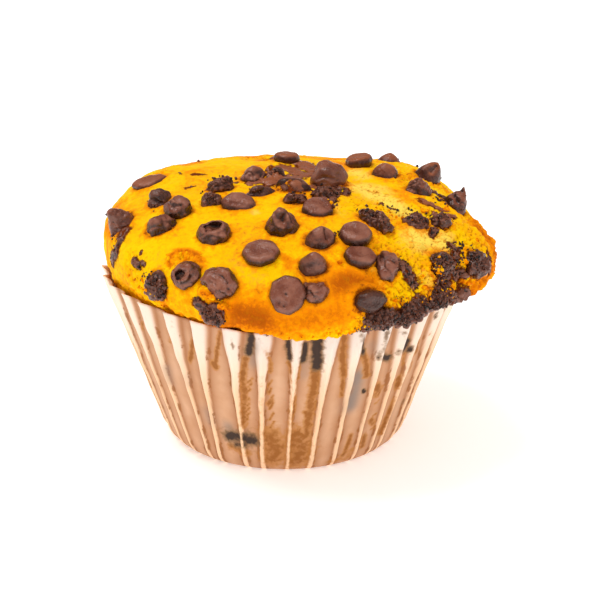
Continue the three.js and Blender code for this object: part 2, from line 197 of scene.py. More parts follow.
def around_mean(points, edges):
    """For each corner the mean of the corners that share an edge with it."""
    size = len(points)
    ends = np.concatenate([edges, edges[:, ::-1]])
    count = np.maximum(np.bincount(ends[:, 0], minlength=size), 1)
    sums = [np.bincount(ends[:, 0], points[ends[:, 1], axis], size) for axis in range(points.shape[1])]
    return np.stack(sums, axis=1) / count[:, None]


def relaxed(points, edges, rounds, share=0.5):
    """The corners after some rounds of moving towards their neighbours."""
    for _ in range(rounds):
        points = points + share * (around_mean(points, edges) - points)
    return points


def hollowness(points, normals, edges, rounds):
    """How far each corner lies below its surroundings, in mm: above 0 in a crease, below 0 on a ridge."""
    around = relaxed(points, edges, rounds)
    return np.einsum("ij,ij->i", around - points, normals) / MM


def set_value(mesh, name, values):
    """Gives each corner a number that the mesh's material reads by its name."""
    layer = mesh.attributes.get(name) or mesh.attributes.new(name, "FLOAT", "POINT")
    layer.data.foreach_set("value", np.asarray(values, np.float32))


def tree_of(*meshes):
    """One tree of the surfaces of the given meshes."""
    bm = bmesh.new()
    for mesh in meshes:
        bm.from_mesh(mesh)
    tree = BVHTree.FromBMesh(bm)
    bm.free()
    return tree


def finished_piece(name, mesh, material, slot, *replaced):
    """A piece of the muffin with its material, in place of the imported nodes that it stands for."""
    mesh.polygons.foreach_set("use_smooth", [True] * len(mesh.polygons))
    mesh.materials.append(material)
    piece = new_object(name, mesh)
    if replaced:
        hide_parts(*replaced)
    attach(piece, "root")
    return piece


# Noise in mm: each field is a number for each point

def waves(points, size, seed, octaves=3, roughness=0.5):
    """Soft noise between about -1 and 1 with lumps of that size in mm."""
    scaled = points / (size * MM) + seed * 17.3
    return np.array([noise.fractal(p, 1 - roughness, 2.0, octaves) for p in map(Vector, scaled)])


def lumps(points, kind, **noise_settings):
    """Soft relief in mm. Its kind is the size of the lumps and how far they stand out."""
    size, rise = kind
    return rise * waves(points, size, **noise_settings)


def cells(points, size, seed):
    """The distance to the nearest and the second nearest of scattered seeds, as shares of their spacing."""
    scaled = points / (size * MM) + seed * 11.7
    found = [noise.voronoi(p)[0] for p in map(Vector, scaled)]
    return np.array([f[0] for f in found]), np.array([f[1] for f in found])


# Marks drawn on a surface along lines seen in the photograph

def line_distance(points, line):
    """The distance of each point to a line through the given places, in mm."""
    best = np.full(len(points), 1e9)
    places = [np.array(p) for p in line]
    for a, b in zip(places, places[1:] or places):
        along = b - a
        length = max(along @ along, 1e-12)
        share = np.clip((points - a) @ along / length, 0, 1)
        best = np.minimum(best, np.linalg.norm(points - a - share[:, None] * along, axis=1))
    return best / MM


def mark_cover(points, tree, pixels, width, turn=0):
    """How much a soft line through the pixels, that wide in mm, covers each point, from 0 to 1."""
    places = [seen_at(tree, pixel, turn)[0] for pixel in pixels]
    places = [p for p in places if p is not None]
    if not places:
        return np.zeros(len(points))
    return np.exp(-0.5 * (line_distance(points, places) / (width / 2)) ** 2)


def drawn(points, tree, marks, turn=0):
    """How strongly marks cover each point. A mark is its pixels, its width in mm and its strength."""
    cover = np.zeros(len(points))
    for pixels, width, strength in marks:
        cover = np.maximum(cover, strength * mark_cover(points, tree, pixels, width, turn))
    return cover


# Materials

# Settings of shader nodes: a range with soft ends, a mix of colours and the output that gives it, a product
RANGE = {"interpolation_type": "SMOOTHSTEP"}
COLOURS = {"data_type": "RGBA"}
MIXED = 2
TIMES = {"operation": "MULTIPLY"}


def add_node(tree, kind, settings=None, inputs=(), output=0):
    """Adds a shader node with its settings, its inputs set to values or linked to sockets, and gives the
    output that is asked for. Inputs are a dict by name or number, or a sequence from the first one on."""
    node = tree.nodes.new("ShaderNode" + kind)
    for key, value in (settings or {}).items():
        setattr(node, key, value)
    for key, value in inputs.items() if isinstance(inputs, dict) else enumerate(inputs):
        if isinstance(value, bpy.types.NodeSocket):
            tree.links.new(value, node.inputs[key])
        else:
            node.inputs[key].default_value = value
    return node.outputs[output]


def new_material(name):
    """A material with only its shader and output, its shader, and the function that adds nodes to it."""
    material = bpy.data.materials.new(name)
    material.use_nodes = True
    tree = material.node_tree
    return material, tree.nodes["Principled BSDF"], functools.partial(add_node, tree)


def finish_shader(shader, sockets, values):
    """Links sockets to the shader's inputs and sets plain values on the others."""
    for name, socket in sockets.items():
        shader.id_data.links.new(socket, shader.inputs[name])
    for name, value in values.items():
        shader.inputs[name].default_value = value


def coated(add, colour, *coats):
    """A colour with coats of other colours over it. A coat is what it follows, the values at which it begins
    and is full, how much it then covers, and its colour."""
    for source, begin, full, most, code in coats:
        share = add("MapRange", RANGE, (source, begin, full, 0.0, most))
        colour = add("Mix", COLOURS, {0: share, 6: colour, 7: linear(code)}, MIXED)
    return colour


def per_mm(size):
    """The scale of a pattern whose cells are that many mm across, on Object coordinates in metres."""
    return 1 / (size * MM)


def crumb_material():
    """Muffin crumb, baked in a hot oven: a golden skin, orange-brown where it caught the heat, pale and
    fibrous where it tore. Painted shade darkens its creases and pores, and round each chip it has a rim
    that is partly browned crust and partly painted contact shade. It is matt with a faint shine of fat, and
    light goes a little way into it."""
    material, shader, add = new_material("baked_muffin_crumb")
    place = add("TexCoord", output="Object")
    names = ("brown", "pale", "melt", "halo", "crease", "craggy")
    value = {name: add("Attribute", {"attribute_name": name}, output="Fac") for name in names}
    wide = add("TexNoise", None, {"Vector": place, "Scale": per_mm(8), "Detail": 3.0})
    clouds = add("TexNoise", None, {"Vector": place, "Scale": per_mm(2.8), "Detail": 4.0})
    grain = add("TexNoise", None, {"Vector": place, "Scale": per_mm(1.1), "Detail": 5.0, "Roughness": 0.65})
    fine = add("TexNoise", None, {"Vector": place, "Scale": per_mm(0.35), "Detail": 2.0})
    ragged = add("Math", None, (add("MapRange", RANGE, (grain, 0.25, 0.75, -0.28, 0.28)),
                                add("MapRange", RANGE, (wide, 0.3, 0.7, -0.16, 0.16))))

    pale = add("Math", None, (value["pale"], ragged))
    brown = add("Math", None, (value["brown"], ragged))
    halo = add("Math", None, (value["halo"], ragged))
    stain = add("Math", None, (value["melt"], ragged))
    colour = add("Mix", COLOURS, {0: add("MapRange", RANGE, (wide, 0.35, 0.65)),
                                  6: linear("#FFC800"), 7: linear("#FFB900")}, MIXED)
    colour = coated(
        add, colour,
        (grain, 0.45, 0.72, 0.5, "#F8A000"),
        (clouds, 0.48, 0.75, 0.32, "#FA9E04"),
        (grain, 0.45, 0.25, 0.5, "#FFD210"),
        (pale, 0.1, 0.95, 1.0, "#FFDC58"),
        (brown, 0.1, 0.7, 1.0, "#FA9C00"),
        (brown, 0.5, 1.05, 1.0, "#EC8200"),
        (brown, 0.85, 1.35, 1.0, "#B85804"),
        (brown, 1.3, 1.75, 1.0, "#8A3E02"),
    )
    # Pores: pits in the bump that painted shade darkens
    pores = add("TexVoronoi", None, {"Vector": place, "Scale": per_mm(1.2)}, "Distance")
    open_pores = add("MapRange", None, (value["craggy"], 0.0, 1.0, 0.2, 1.0))
    some_pores = add("Math", TIMES, (open_pores, add("MapRange", RANGE, (clouds, 0.42, 0.6))))
    shaded_pores = add("Math", TIMES, (add("MapRange", RANGE, (pores, 0.26, 0.08)), some_pores))
    colour = add("Mix", COLOURS, {0: shaded_pores, 6: colour, 7: linear("#B45A08")}, MIXED)
    # Painted shade in the creases, a rim round each chip that is partly browned crust and partly painted
    # contact shade, and stains of melted chocolate
    colour = coated(
        add, colour,
        (value["crease"], 0.03, 0.22, 0.6, "#B85E06"),
        (halo, 0.05, 0.6, 0.8, "#F78E00"),
        (halo, 0.55, 1.1, 0.9, "#A64C06"),
        (stain, 0.2, 0.6, 1.0, "#6E3010"),
    )

    grainy = add("Math", TIMES, (grain, 0.6))
    height = add("Math", None, (grainy, add("Math", TIMES, (shaded_pores, -0.5))))
    height = add("Math", None, (height, add("Math", TIMES, (fine, 0.3))))
    bump = add("Bump", None, {"Strength": 0.75, "Distance": 0.3 * MM, "Height": height})
    finish_shader(shader, {"Base Color": colour, "Normal": bump}, {
        "Roughness": 0.75,
        "Specular IOR Level": 0.04,
        "Subsurface Weight": 0.06,
        "Subsurface Radius": (1.0, 0.35, 0.05),
        "Subsurface Scale": 1.0 * MM,
    })
    return material


def chocolate_material():
    """Dark chocolate that melted in the oven and set again: a satin skin, lighter with painted light on what
    faces up and a painted highlight on what stands out, dark with painted shade on its sides and almost black
    with painted shade in its creases, and finely grained all over with a faint dusty bloom."""
    material, shader, add = new_material("baked_dark_chocolate")
    place = add("TexCoord", output="Object")
    names = ("crease", "warm", "top")
    value = {name: add("Attribute", {"attribute_name": name}, output="Fac") for name in names}
    clouds = add("TexNoise", None, {"Vector": place, "Scale": per_mm(2.4), "Detail": 4.0})
    grain = add("TexNoise", None, {"Vector": place, "Scale": per_mm(0.4), "Detail": 3.0})

    cloudy = add("MapRange", RANGE, (clouds, 0.3, 0.7))
    # Painted light and shade: the upward face lighter and the sides darker, also in the warm red-brown
    side = add("Mix", COLOURS, {0: cloudy, 6: linear("#260F08"), 7: linear("#3C190E")}, MIXED)
    face = add("Mix", COLOURS, {0: cloudy, 6: linear("#713A28"), 7: linear("#965C46")}, MIXED)
    colour = add("Mix", COLOURS, {0: value["top"], 6: side, 7: face}, MIXED)
    red = add("Mix", COLOURS, {0: value["top"], 6: linear("#421A0C"), 7: linear("#9A522C")}, MIXED)
    colour = add("Mix", COLOURS, {0: value["warm"], 6: colour, 7: red}, MIXED)
    # Painted highlight on ridges and painted shade in creases; on loose bits the same value is a random shade
    colour = coated(
        add, colour,
        (value["crease"], -0.01, -0.10, 0.5, "#9C5F46"),
        (value["crease"], 0.01, 0.09, 1.0, "#140604"),
        (grain, 0.5, 0.75, 0.2, "#96604A"),
    )
    rough = add("MapRange", RANGE, (clouds, 0.3, 0.7, 0.22, 0.38))
    bump = add("Bump", None, {"Strength": 0.8, "Distance": 0.18 * MM, "Height": grain})
    finish_shader(shader, {"Base Color": colour, "Roughness": rough, "Normal": bump}, {
        "Specular IOR Level": 0.5,
    })
    return material


def paper_material():
    """Greaseproof paper, pressed into pleats: thin, pale and matt where it stands free, tan and see-through
    where it lies on the crumb, with golden grease streaks and grey shadows of the chips behind it. Beside
    each ridge it is darker, partly with grease and partly with painted shade, and near the rim its cocoa
    stains are partly painted shade between the fans."""
    material, shader, add = new_material("pleated_greaseproof_paper")
    place = add("TexCoord", output="Object")
    names = ("fan", "contact", "cool", "grease", "shade", "cocoa", "fold", "edge")
    value = {name: add("Attribute", {"attribute_name": name}, output="Fac") for name in names}
    blotch = add("TexNoise", None, {"Vector": place, "Scale": per_mm(5), "Detail": 3.0})
    grain = add("TexNoise", None, {"Vector": place, "Scale": per_mm(1.0), "Detail": 4.0})
    ragged = add("MapRange", RANGE, (grain, 0.3, 0.7, -0.16, 0.16))

    free = add("Mix", COLOURS, {0: value["fan"], 6: linear("#FACFA6"), 7: linear("#FBE3CE")}, MIXED)
    free = add("Mix", COLOURS, {0: value["cool"], 6: free, 7: linear("#E4D6CC")}, MIXED)
    resting = add("Mix", COLOURS, {0: add("MapRange", None, (blotch, 0.3, 0.7)),
                                   6: linear("#CC9870"), 7: linear("#DCAE8B")}, MIXED)
    # Darker beside the ridges: partly grease, partly painted shade
    resting = add("Mix", COLOURS, {0: value["edge"], 6: resting, 7: linear("#B07850")}, MIXED)
    colour = add("Mix", COLOURS, {0: value["contact"], 6: free, 7: resting}, MIXED)
    fold_grease_and_shade = add("Math", None, (value["fold"], ragged))
    grease = add("Math", None, (value["grease"], ragged))
    cocoa = add("Math", None, (value["cocoa"], ragged))
    # Darker still in the fold beside each ridge: partly grease, partly painted shade
    colour = coated(add, colour, (fold_grease_and_shade, 0.3, 0.7, 0.85, "#9C6030"))
    shade = add("Math", TIMES, (value["shade"], add("MapRange", RANGE, (blotch, 0.2, 0.5, 0.6, 1.0))))
    colour = add("Mix", COLOURS, {0: shade, 6: colour, 7: linear("#8C7C72")}, MIXED)
    # Grease, and cocoa stains that near the rim are partly painted shade
    colour = coated(
        add, colour,
        (grease, 0.1, 0.6, 0.75, "#BC7C38"),
        (grease, 0.5, 0.95, 0.9, "#96581A"),
        (cocoa, 0.1, 0.6, 0.8, "#88643F"),
        (cocoa, 0.45, 0.95, 1.0, "#3C2A20"),
    )
    bump = add("Bump", None, {"Strength": 0.25, "Distance": 0.1 * MM, "Height": grain})
    finish_shader(shader, {"Base Color": colour, "Normal": bump}, {
        "Roughness": 0.6,
        "Specular IOR Level": 0.25,
        "Subsurface Weight": 0.06,
        "Subsurface Radius": (1.0, 0.7, 0.5),
        "Subsurface Scale": 0.8 * MM,
    })
    return material


# Crumb

# The skin of the crumb: where its flat base is, how fine it is, how close to a chip its pocket lies, the
# ball that is drawn in to it, and the rounds in which the bridges over the pockets settle
CRUMB_CUT = 30 * MM
CRUMB_VOXEL = 0.38 * MM
CRUMB_SMOOTHING = {"factor": 0.5, "iterations": 12}
POCKET_REACH = 0.45 * MM
POCKET_FACING = 0.6
BALL_DIVISIONS = 7
BALL_MIDDLE = Vector((0, 0, 40 * MM))
BALL_START = 120 * MM
BRIDGE_ROUNDS = 150
CUT_MARGIN = 0.3 * MM
LEVELS_IN_CASE = (16, 4, CRUMB_GAP)

# Relief of the crumb: how large its lumps are and how far they stand out or lie in, in mm
SWELL = (9, 0.3)
RIPPLE = (2.8, 0.1)
CRAG = (2.2, 0.5)
CREVICE = (1.9, 0.5)
PIT = (1.5, 0.6)
LIP_LUMP = (2.0, 0.45)
SPLIT_DEPTH = 0.7
SPLIT_LIP_RISE = 0.6
PRESSED_DEPTH = 1.3
SHEET_ROUNDS = 90

# The low ring of crumb round each chip: how far it lies from the chip and how high it is, in mm, and how far
# the halo reaches, which is partly browned crust and partly painted contact shade
CHIP_RING = 0.7
RING_RISE = 0.3
HALO_REACH = 0.9
CHIP_REACH = 4 * MM

# Heights in mm over which the relief sets in above the case, and over which the lip and its browning end,
# and how far back in mm the side begins that the photograph doesn't show
RELIEF_START = (CRUMB_CUT / MM + 0.5, CRUMB_CUT / MM + 3)
LIP_END = (42, 37.5)
BROWNED_LIP_END = (44, 37)
BACK_START = (-8, 10)
MOST_BROWN = 1.6

# Melted chocolate: how far in mm it stands out and its edge is sunk in, its thickness, the least that a mark
# covers under it, its relief, and how reddish broken chocolate is
MELTED_RISE = 0.42
MELTED_SINK = 0.14
MELTED_WALL = 0.5 * MM
MELTED_LOWEST = 34 * MM
MELTED_COVER = 0.45
MELTED_EDGE = (1.6, 0.3)
SHEET_LUMP = (2.6, 0.12)
SMEAR_LUMP = (1.8, 0.5)
BROKEN_WARMTH = 0.5

# Marks on the crumb: pixels of the photograph, width in mm, strength. BROWNED is crust that caught the heat
# and PALE is torn crumb.
BROWNED = (
    (((110, 226), (114, 208), (123, 190), (136, 178)), 5, 1.05),
    (((108, 236), (109, 262)), 3, 0.8),
    (((140, 172), (165, 161), (200, 154), (250, 152)), 2.6, 0.8),
    (((300, 156), (350, 158), (400, 160), (430, 166)), 2.2, 0.7),
    (((222, 322), (240, 315), (262, 320)), 6.4, 1.38),
    (((216, 322), (262, 322), (300, 318), (335, 316)), 7, 0.95),
    (((240, 300), (262, 298)), 6, 0.45),
    (((280, 328), (320, 325)), 5, 0.75),
    (((332, 288), (350, 280), (366, 288)), 5, 1.3),
    (((332, 276), (350, 270), (368, 276)), 4, 0.7),
    (((300, 302), (330, 300), (352, 304)), 5, 0.6),
    (((170, 264), (170, 256), (177, 251), (188, 250), (197, 255), (202, 262)), 1.3, 1.2),
    (((176, 260), (188, 256), (196, 262)), 2.6, 0.6),
    (((286, 258), (291, 262), (289, 267)), 2.2, 0.95),
    (((430, 168), (452, 182), (462, 196)), 3, 0.6),
    (((470, 214), (476, 222), (486, 226)), 2.2, 0.95),
    (((480, 228), (490, 236), (495, 262), (488, 284), (470, 294)), 3.4, 1.15),
    (((400, 226), (408, 236), (412, 246)), 2.4, 0.5),
    (((424, 226), (436, 234)), 2.0, 0.8),
    (((455, 296), (478, 288)), 3, 0.9),
    (((345, 168), (375, 160), (400, 168)), 3, 0.5),
    (((396, 190), (410, 202), (424, 203)), 3.0, 0.55),
    (((345, 256), (352, 266), (372, 270)), 2.0, 0.6),
    (((330, 328), (360, 326), (384, 322)), 3, 0.6),
    (((300, 156), (330, 160), (350, 166)), 2.6, 0.6),
    (((150, 170), (200, 156), (262, 156)), 2.4, 0.5),
    (((262, 160), (274, 160)), 2.4, 0.9),
    (((190, 300), (182, 308), (196, 314)), 3, 0.6),
    (((130, 250), (138, 254), (150, 256)), 3, 0.3),
    (((156, 300), (170, 312)), 3, 0.4),
)
PALE = (
    (((345, 176), (362, 186), (384, 198), (408, 214)), 4.6, 1.05),
    (((352, 170), (366, 176)), 3.6, 0.8),
    (((380, 186), (392, 192)), 3.0, 0.6),
    (((414, 240), (424, 236), (440, 240)), 5, 1.1),
    (((416, 278), (430, 282)), 3.6, 0.45),
    (((372, 272), (377, 280), (376, 290)), 2.2, 0.8),
    (((254, 212), (256, 213)), 1.6, 0.7),
    (((330, 205), (340, 212)), 3.0, 0.45),
    (((440, 250), (446, 256)), 2.0, 0.5),
    (((150, 262), (168, 276)), 5, 0.18),
    (((240, 270), (262, 282)), 5, 0.22),
)

# MELTED are rough smears of chocolate and SHEETS smooth ones. The crumb is PRESSED in under a broad chip.
MELTED = (
    (((125, 231), (121, 240), (117, 252), (112, 262)), 2.0, 1.1),
    (((135, 259), (138, 265)), 1.3, 1.1),
    (((141, 251), (140, 253)), 0.8, 1.1),
    (((142, 262), (145, 264)), 1.0, 1.0),
    (((347, 190), (346, 195)), 1.2, 1.0),
    (((434, 194), (442, 198), (452, 204)), 1.6, 1.1),
    (((402, 266), (408, 274), (414, 284)), 2.4, 1.1),
    (((412, 300), (418, 296)), 1.4, 0.8),
    (((444, 262), (441, 276), (438, 288), (434, 300)), 2.0, 0.92),
    (((452, 246), (457, 252), (453, 264), (449, 276), (446, 290)), 1.5, 0.92),
    (((457, 276), (464, 274)), 2.0, 1.2),
    (((436, 230), (433, 234)), 1.4, 1.0),
    (((198, 302), (204, 308), (212, 316)), 2.0, 1.1),
    (((230, 329), (238, 331)), 1.0, 1.0),
    (((489, 254), (489, 272)), 1.4, 0.9),
    (((470, 276), (480, 278)), 1.2, 0.7),
    (((192.5, 174), (204, 174.4)), 0.7, 0.75),
    (((179, 173), (181, 174)), 0.7, 0.65),
    (((186, 188), (196, 186)), 0.6, 0.6),
    (((198, 160.5), (203, 159.5)), 1.0, 0.8),
    (((372, 322), (386, 326), (402, 320), (420, 313), (438, 307), (460, 297)), 4.2, 1.2),
    (((384, 311), (390, 314)), 1.6, 0.9),
    (((338, 188), (336, 196), (332, 202)), 1.6, 1.0),
    (((279, 184), (287, 188)), 1.6, 0.9),
    (((229, 191), (224, 188), (214, 187)), 1.4, 0.8),
    (((379, 205), (386, 204), (398, 210)), 0.7, 0.75),
    (((403, 220), (410, 222)), 0.8, 0.75),
    (((360, 330), (372, 331)), 0.8, 0.7),
)
PRESSED = (
    (((320, 181), (330, 180), (339, 177)), 3.4, 1.0),
    (((274, 172), (278, 168)), 2.0, 0.7),
)
SHEETS = (
    (((281, 158), (292, 162), (304, 165), (312, 170)), 3.6, 1.2),
    (((284, 168), (296, 172), (304, 175), (312, 174)), 3.2, 1.2),
    (((272, 172), (278, 168)), 3.0, 1.1),
    (((270, 184), (284, 181), (296, 178)), 3.2, 1.2),
    (((296, 184), (312, 187)), 3.0, 1.1),
    (((424, 202), (434, 206), (444, 210)), 2.2, 0.8),
    (((436, 214), (446, 220), (452, 216)), 2.0, 0.9),
    (((250, 184), (262, 182), (276, 182)), 2.2, 1.0),
    (((222, 184), (236, 184)), 1.4, 0.8),
)

# CRAGGY is rough crust, SPLIT a crack in it and SPLIT_LIP the raised edge of one
CRAGGY = (
    (((380, 206), (410, 216), (440, 226), (470, 240)), 11, 0.9),
    (((400, 262), (430, 280), (460, 270)), 12, 1.0),
    (((395, 236), (430, 240)), 8, 0.5),
    (((390, 300), (430, 305), (460, 285)), 10, 1.0),
    (((345, 180), (380, 190), (410, 210)), 6, 0.4),
    (((318, 206), (345, 210)), 4, 0.3),
    (((130, 268), (136, 280), (150, 290), (172, 312)), 4.4, 0.8),
    (((200, 330), (260, 336), (340, 335)), 2.4, 0.7),
    (((355, 330), (372, 330)), 2.4, 1.0),
    (((172, 262), (180, 255), (196, 258)), 2.5, 0.8),
    (((470, 220), (490, 240), (496, 262), (484, 288)), 4, 0.9),
)
SPLIT = (
    (((350, 178), (372, 190), (392, 202), (408, 216)), 3.0, 0.8),
    (((288, 262), (290, 264)), 1.2, 0.3),
    (((457, 276), (464, 274)), 1.6, 0.9),
    (((436, 231), (434, 234)), 1.2, 0.6),
    (((376, 276), (378, 286)), 1.6, 0.4),
    (((470, 214), (475, 219)), 1.4, 0.8),
    (((484, 234), (488, 242)), 1.0, 0.7),
    (((474, 284), (484, 280)), 1.0, 0.7),
)
SPLIT_LIP = (
    (((380, 203), (392, 205), (402, 213), (411, 222)), 1.1, 0.7),
    (((169, 262), (171, 254), (180, 250), (192, 251), (201, 259)), 1.0, 0.45),
    (((330, 282), (350, 272), (368, 280)), 5.0, 0.5),
    (((118, 200), (128, 186)), 3.0, 0.3),
    (((477, 222), (486, 225)), 1.6, 0.9),
    (((490, 240), (494, 256), (490, 272)), 2.0, 0.6),
    (((470, 294), (482, 288)), 1.6, 0.6),
)


def all_chips():
    """One tree of the surfaces of all chips."""
    return tree_of(*[node.data for name, node in nodes.items() if "chip" in name])


def pocket_faces(bm, chip_tree):
    """The faces of the crumb that line a chip's pocket: they look straight at the chip from close by."""
    found = set()
    for face in bm.faces:
        middle = face.calc_center_median()
        near, _, _, distance = chip_tree.find_nearest(middle, POCKET_REACH)
        if near is not None and face.normal.dot(near - middle) > POCKET_FACING * distance:
            found.add(face.index)
    return found


def bare_crumb(chip_tree):
    """The crumb with its pockets bridged over: a ball drawn in to the skin from all sides, on which the
    places over a pocket follow their surroundings. Its base is flat and is cut away later."""
    solid = solid_bmesh("muffin")
    solid.faces.index_update()
    pockets = pocket_faces(solid, chip_tree)
    solid_tree = BVHTree.FromBMesh(solid)
    solid.free()
    bm = bmesh.new()
    bmesh.ops.create_icosphere(bm, subdivisions=BALL_DIVISIONS, radius=1)
    mesh = from_bmesh("crumb_ball", bm)
    ways = points_of(mesh)
    ways /= np.linalg.norm(ways, axis=1)[:, None]
    reach = np.zeros((len(ways), 1))
    known = np.zeros(len(ways), bool)
    for i, way in enumerate(ways):
        outside = BALL_MIDDLE + Vector(way) * BALL_START
        place, _, face, _ = solid_tree.ray_cast(outside, -Vector(way))
        reach[i] = (place - BALL_MIDDLE).length
        known[i] = face not in pockets
    edges = edges_of(mesh)
    reach[~known] = reach[known].mean()
    for _ in range(BRIDGE_ROUNDS):
        reach[~known] = around_mean(reach, edges)[~known]
    move_points(mesh, np.array(BALL_MIDDLE) + ways * reach)
    bm = bmesh.new()
    bm.from_mesh(mesh)
    plane = {"plane_co": (0, 0, CRUMB_CUT), "plane_no": (0, 0, 1)}
    bmesh.ops.bisect_plane(bm, geom=bm.verts[:] + bm.edges[:] + bm.faces[:], clear_inner=True, **plane)
    bmesh.ops.holes_fill(bm, edges=[e for e in bm.edges if e.is_boundary], sides=0)
    bmesh.ops.recalc_face_normals(bm, faces=bm.faces)
    remesh = ("REMESH", {"mode": "VOXEL", "voxel_size": CRUMB_VOXEL})
    return modified(from_bmesh("crumb_base", bm), remesh, ("SMOOTH", CRUMB_SMOOTHING))


def crumb_relief(points, tree, craggy, lip, near_chip):
    """How far each point of the crumb's skin stands out, in mm."""
    near, far = cells(points, CREVICE[0], seed=5)
    crevices = CREVICE[1] * smooth_step(0.16, 0.0, far - near)
    pits = PIT[1] * smooth_step(0.36, 0.1, cells(points, PIT[0], seed=6)[0])
    crags = lumps(points, CRAG, seed=4, octaves=4, roughness=0.6)
    height = lumps(points, SWELL, seed=1) + lumps(points, RIPPLE, seed=2)
    height += craggy * (crags - crevices - pits) + lip * lumps(points, LIP_LUMP, seed=7)
    height += SPLIT_LIP_RISE * drawn(points, tree, SPLIT_LIP) - SPLIT_DEPTH * drawn(points, tree, SPLIT)
    ring = np.exp(-(((near_chip - CHIP_RING) / CHIP_RING) ** 2))
    return height + RING_RISE * ring - PRESSED_DEPTH * drawn(points, tree, PRESSED)


def shape_crumb(mesh, chip_tree):
    """Gives the skin its relief and the values that its material reads. Gives back how thickly rough smears
    and smooth sheets of chocolate lie on each point."""
    points, normals, edges = points_of(mesh), normals_of(mesh), edges_of(mesh)
    tree = tree_of(mesh)
    near_chip = [chip_tree.find_nearest(Vector(p), CHIP_REACH)[3] or CHIP_REACH for p in points]
    near_chip = np.array(near_chip) / MM
    free = smooth_step(*RELIEF_START, points[:, 2] / MM)
    behind = smooth_step(*BACK_START, points[:, 1] / MM)
    rough_behind = behind * smooth_step(0.15, 0.6, waves(points, 14, seed=3)) * 0.8
    craggy = np.maximum(drawn(points, tree, CRAGGY), rough_behind)
    melted = np.maximum(drawn(points, tree, MELTED), streaks_behind(points, normals))
    sheet = drawn(points, tree, SHEETS)
    lip = smooth_step(*LIP_END, points[:, 2] / MM)

    points += smooth_step(0.3, 0.7, sheet)[:, None] * (relaxed(points, edges, SHEET_ROUNDS) - points)
    height = crumb_relief(points, tree, craggy, lip, near_chip)
    points = points + normals * (height * free * MM)[:, None]
    move_points(mesh, points)

    set_value(mesh, "brown", np.clip(crumb_browning(points, tree, behind), 0, MOST_BROWN))
    set_value(mesh, "pale", drawn(points, tree, PALE))
    set_value(mesh, "melt", np.maximum(melted, 0.8 * sheet))
    # Partly browned crust, partly painted contact shade round each chip
    set_value(mesh, "halo", np.exp(-near_chip / HALO_REACH))
    set_value(mesh, "craggy", craggy)
    # Painted shade in the creases
    set_value(mesh, "crease", hollowness(points, normals_of(mesh), edges, 6))
    return melted, sheet


def crumb_browning(points, tree, behind):
    """Browned by the photograph's marks in front, and in loose patches and towards the lip behind."""
    patches = smooth_step(0.05, 0.7, waves(points, 11, seed=8)) * 0.8
    lip = (0.5 + 0.25 * behind) * smooth_step(*BROWNED_LIP_END, points[:, 2] / MM)
    return np.maximum(drawn(points, tree, BROWNED), np.maximum(behind * patches, lip))


def streaks_behind(points, normals):
    """Thin smears of chocolate on the side that the photograph doesn't show."""
    hidden = smooth_step(0.0, -0.3, normals @ np.array(view_back))
    return hidden * smooth_step(0.42, 0.62, waves(points * (1, 1, 1.6), 3.2, seed=9, octaves=2))


def make_melted(skin_mesh, melted, sheet, material):
    """Chocolate that melted over the crumb: thin glossy sheets and rough smears that follow the crumb's
    skin, with their edges and undersides sunk in it."""
    points, normals = points_of(skin_mesh), normals_of(skin_mesh)
    cover = np.maximum(melted, sheet) + lumps(points, MELTED_EDGE, seed=21, octaves=4, roughness=0.6)
    smooth = smooth_step(-0.1, 0.2, sheet - melted)
    relief = lumps(points, SHEET_LUMP, seed=12, octaves=2) * smooth
    relief += lumps(points, SMEAR_LUMP, seed=11, roughness=0.55) * (1 - smooth)
    lift = (MELTED_RISE + relief) * smooth_step(0.5, 0.85, cover) - MELTED_SINK
    mesh = skin_mesh.copy()
    points = points + normals * (lift * MM)[:, None]
    move_points(mesh, points)
    normals = normals_of(mesh)
    # Painted shade in creases, painted highlight on ridges
    set_value(mesh, "crease", hollowness(points, normals, edges_of(mesh), 4))
    set_value(mesh, "warm", np.maximum(smooth, BROKEN_WARMTH))
    # Painted light on upward faces, mostly on the smooth sheets
    set_value(mesh, "top", smooth_step(0.1, 0.9, normals[:, 2]) * (0.15 + 0.85 * smooth))
    bm = bmesh.new()
    bm.from_mesh(mesh)
    bm.verts.ensure_lookup_table()
    bare = [bm.verts[i] for i in np.flatnonzero((cover < MELTED_COVER) | (points[:, 2] < MELTED_LOWEST))]
    bmesh.ops.delete(bm, geom=bare, context="VERTS")
    bmesh.ops.delete(bm, geom=[v for v in bm.verts if not v.link_faces], context="VERTS")
    thick = {"thickness": MELTED_WALL, "offset": -1}
    mesh = modified(from_bmesh("melted_chocolate", bm), ("SOLIDIFY", thick))
    return finished_piece("melted_chocolate", mesh, material, "chocolate")


def close_below(mesh):
    """Takes the flat base away and carries the crumb down inside the case to its foot."""
    bm = bmesh.new()
    bm.from_mesh(mesh)
    base = [v for v in bm.verts if v.co.z < CRUMB_CUT + CUT_MARGIN]
    bmesh.ops.delete(bm, geom=base, context="VERTS")
    for z in LEVELS_IN_CASE:
        edge = [e for e in bm.edges if e.is_boundary]
        made = bmesh.ops.extrude_edge_only(bm, edges=edge)
        for vert in [v for v in made["geom"] if isinstance(v, bmesh.types.BMVert)]:
            scale = inner_radius(z) / math.hypot(vert.co.x, vert.co.y)
            vert.co = Vector((vert.co.x * scale, vert.co.y * scale, z * MM))
    bmesh.ops.holes_fill(bm, edges=[e for e in bm.edges if e.is_boundary], sides=0)
    bmesh.ops.recalc_face_normals(bm, faces=bm.faces)
    bm.to_mesh(mesh)
    bm.free()


def inner_radius(z):
    """The radius of the crumb inside the case at a height in mm, in metres."""
    return (float(ridge_radius(z)) - float(pleat_depth(z)) - CRUMB_GAP) * MM


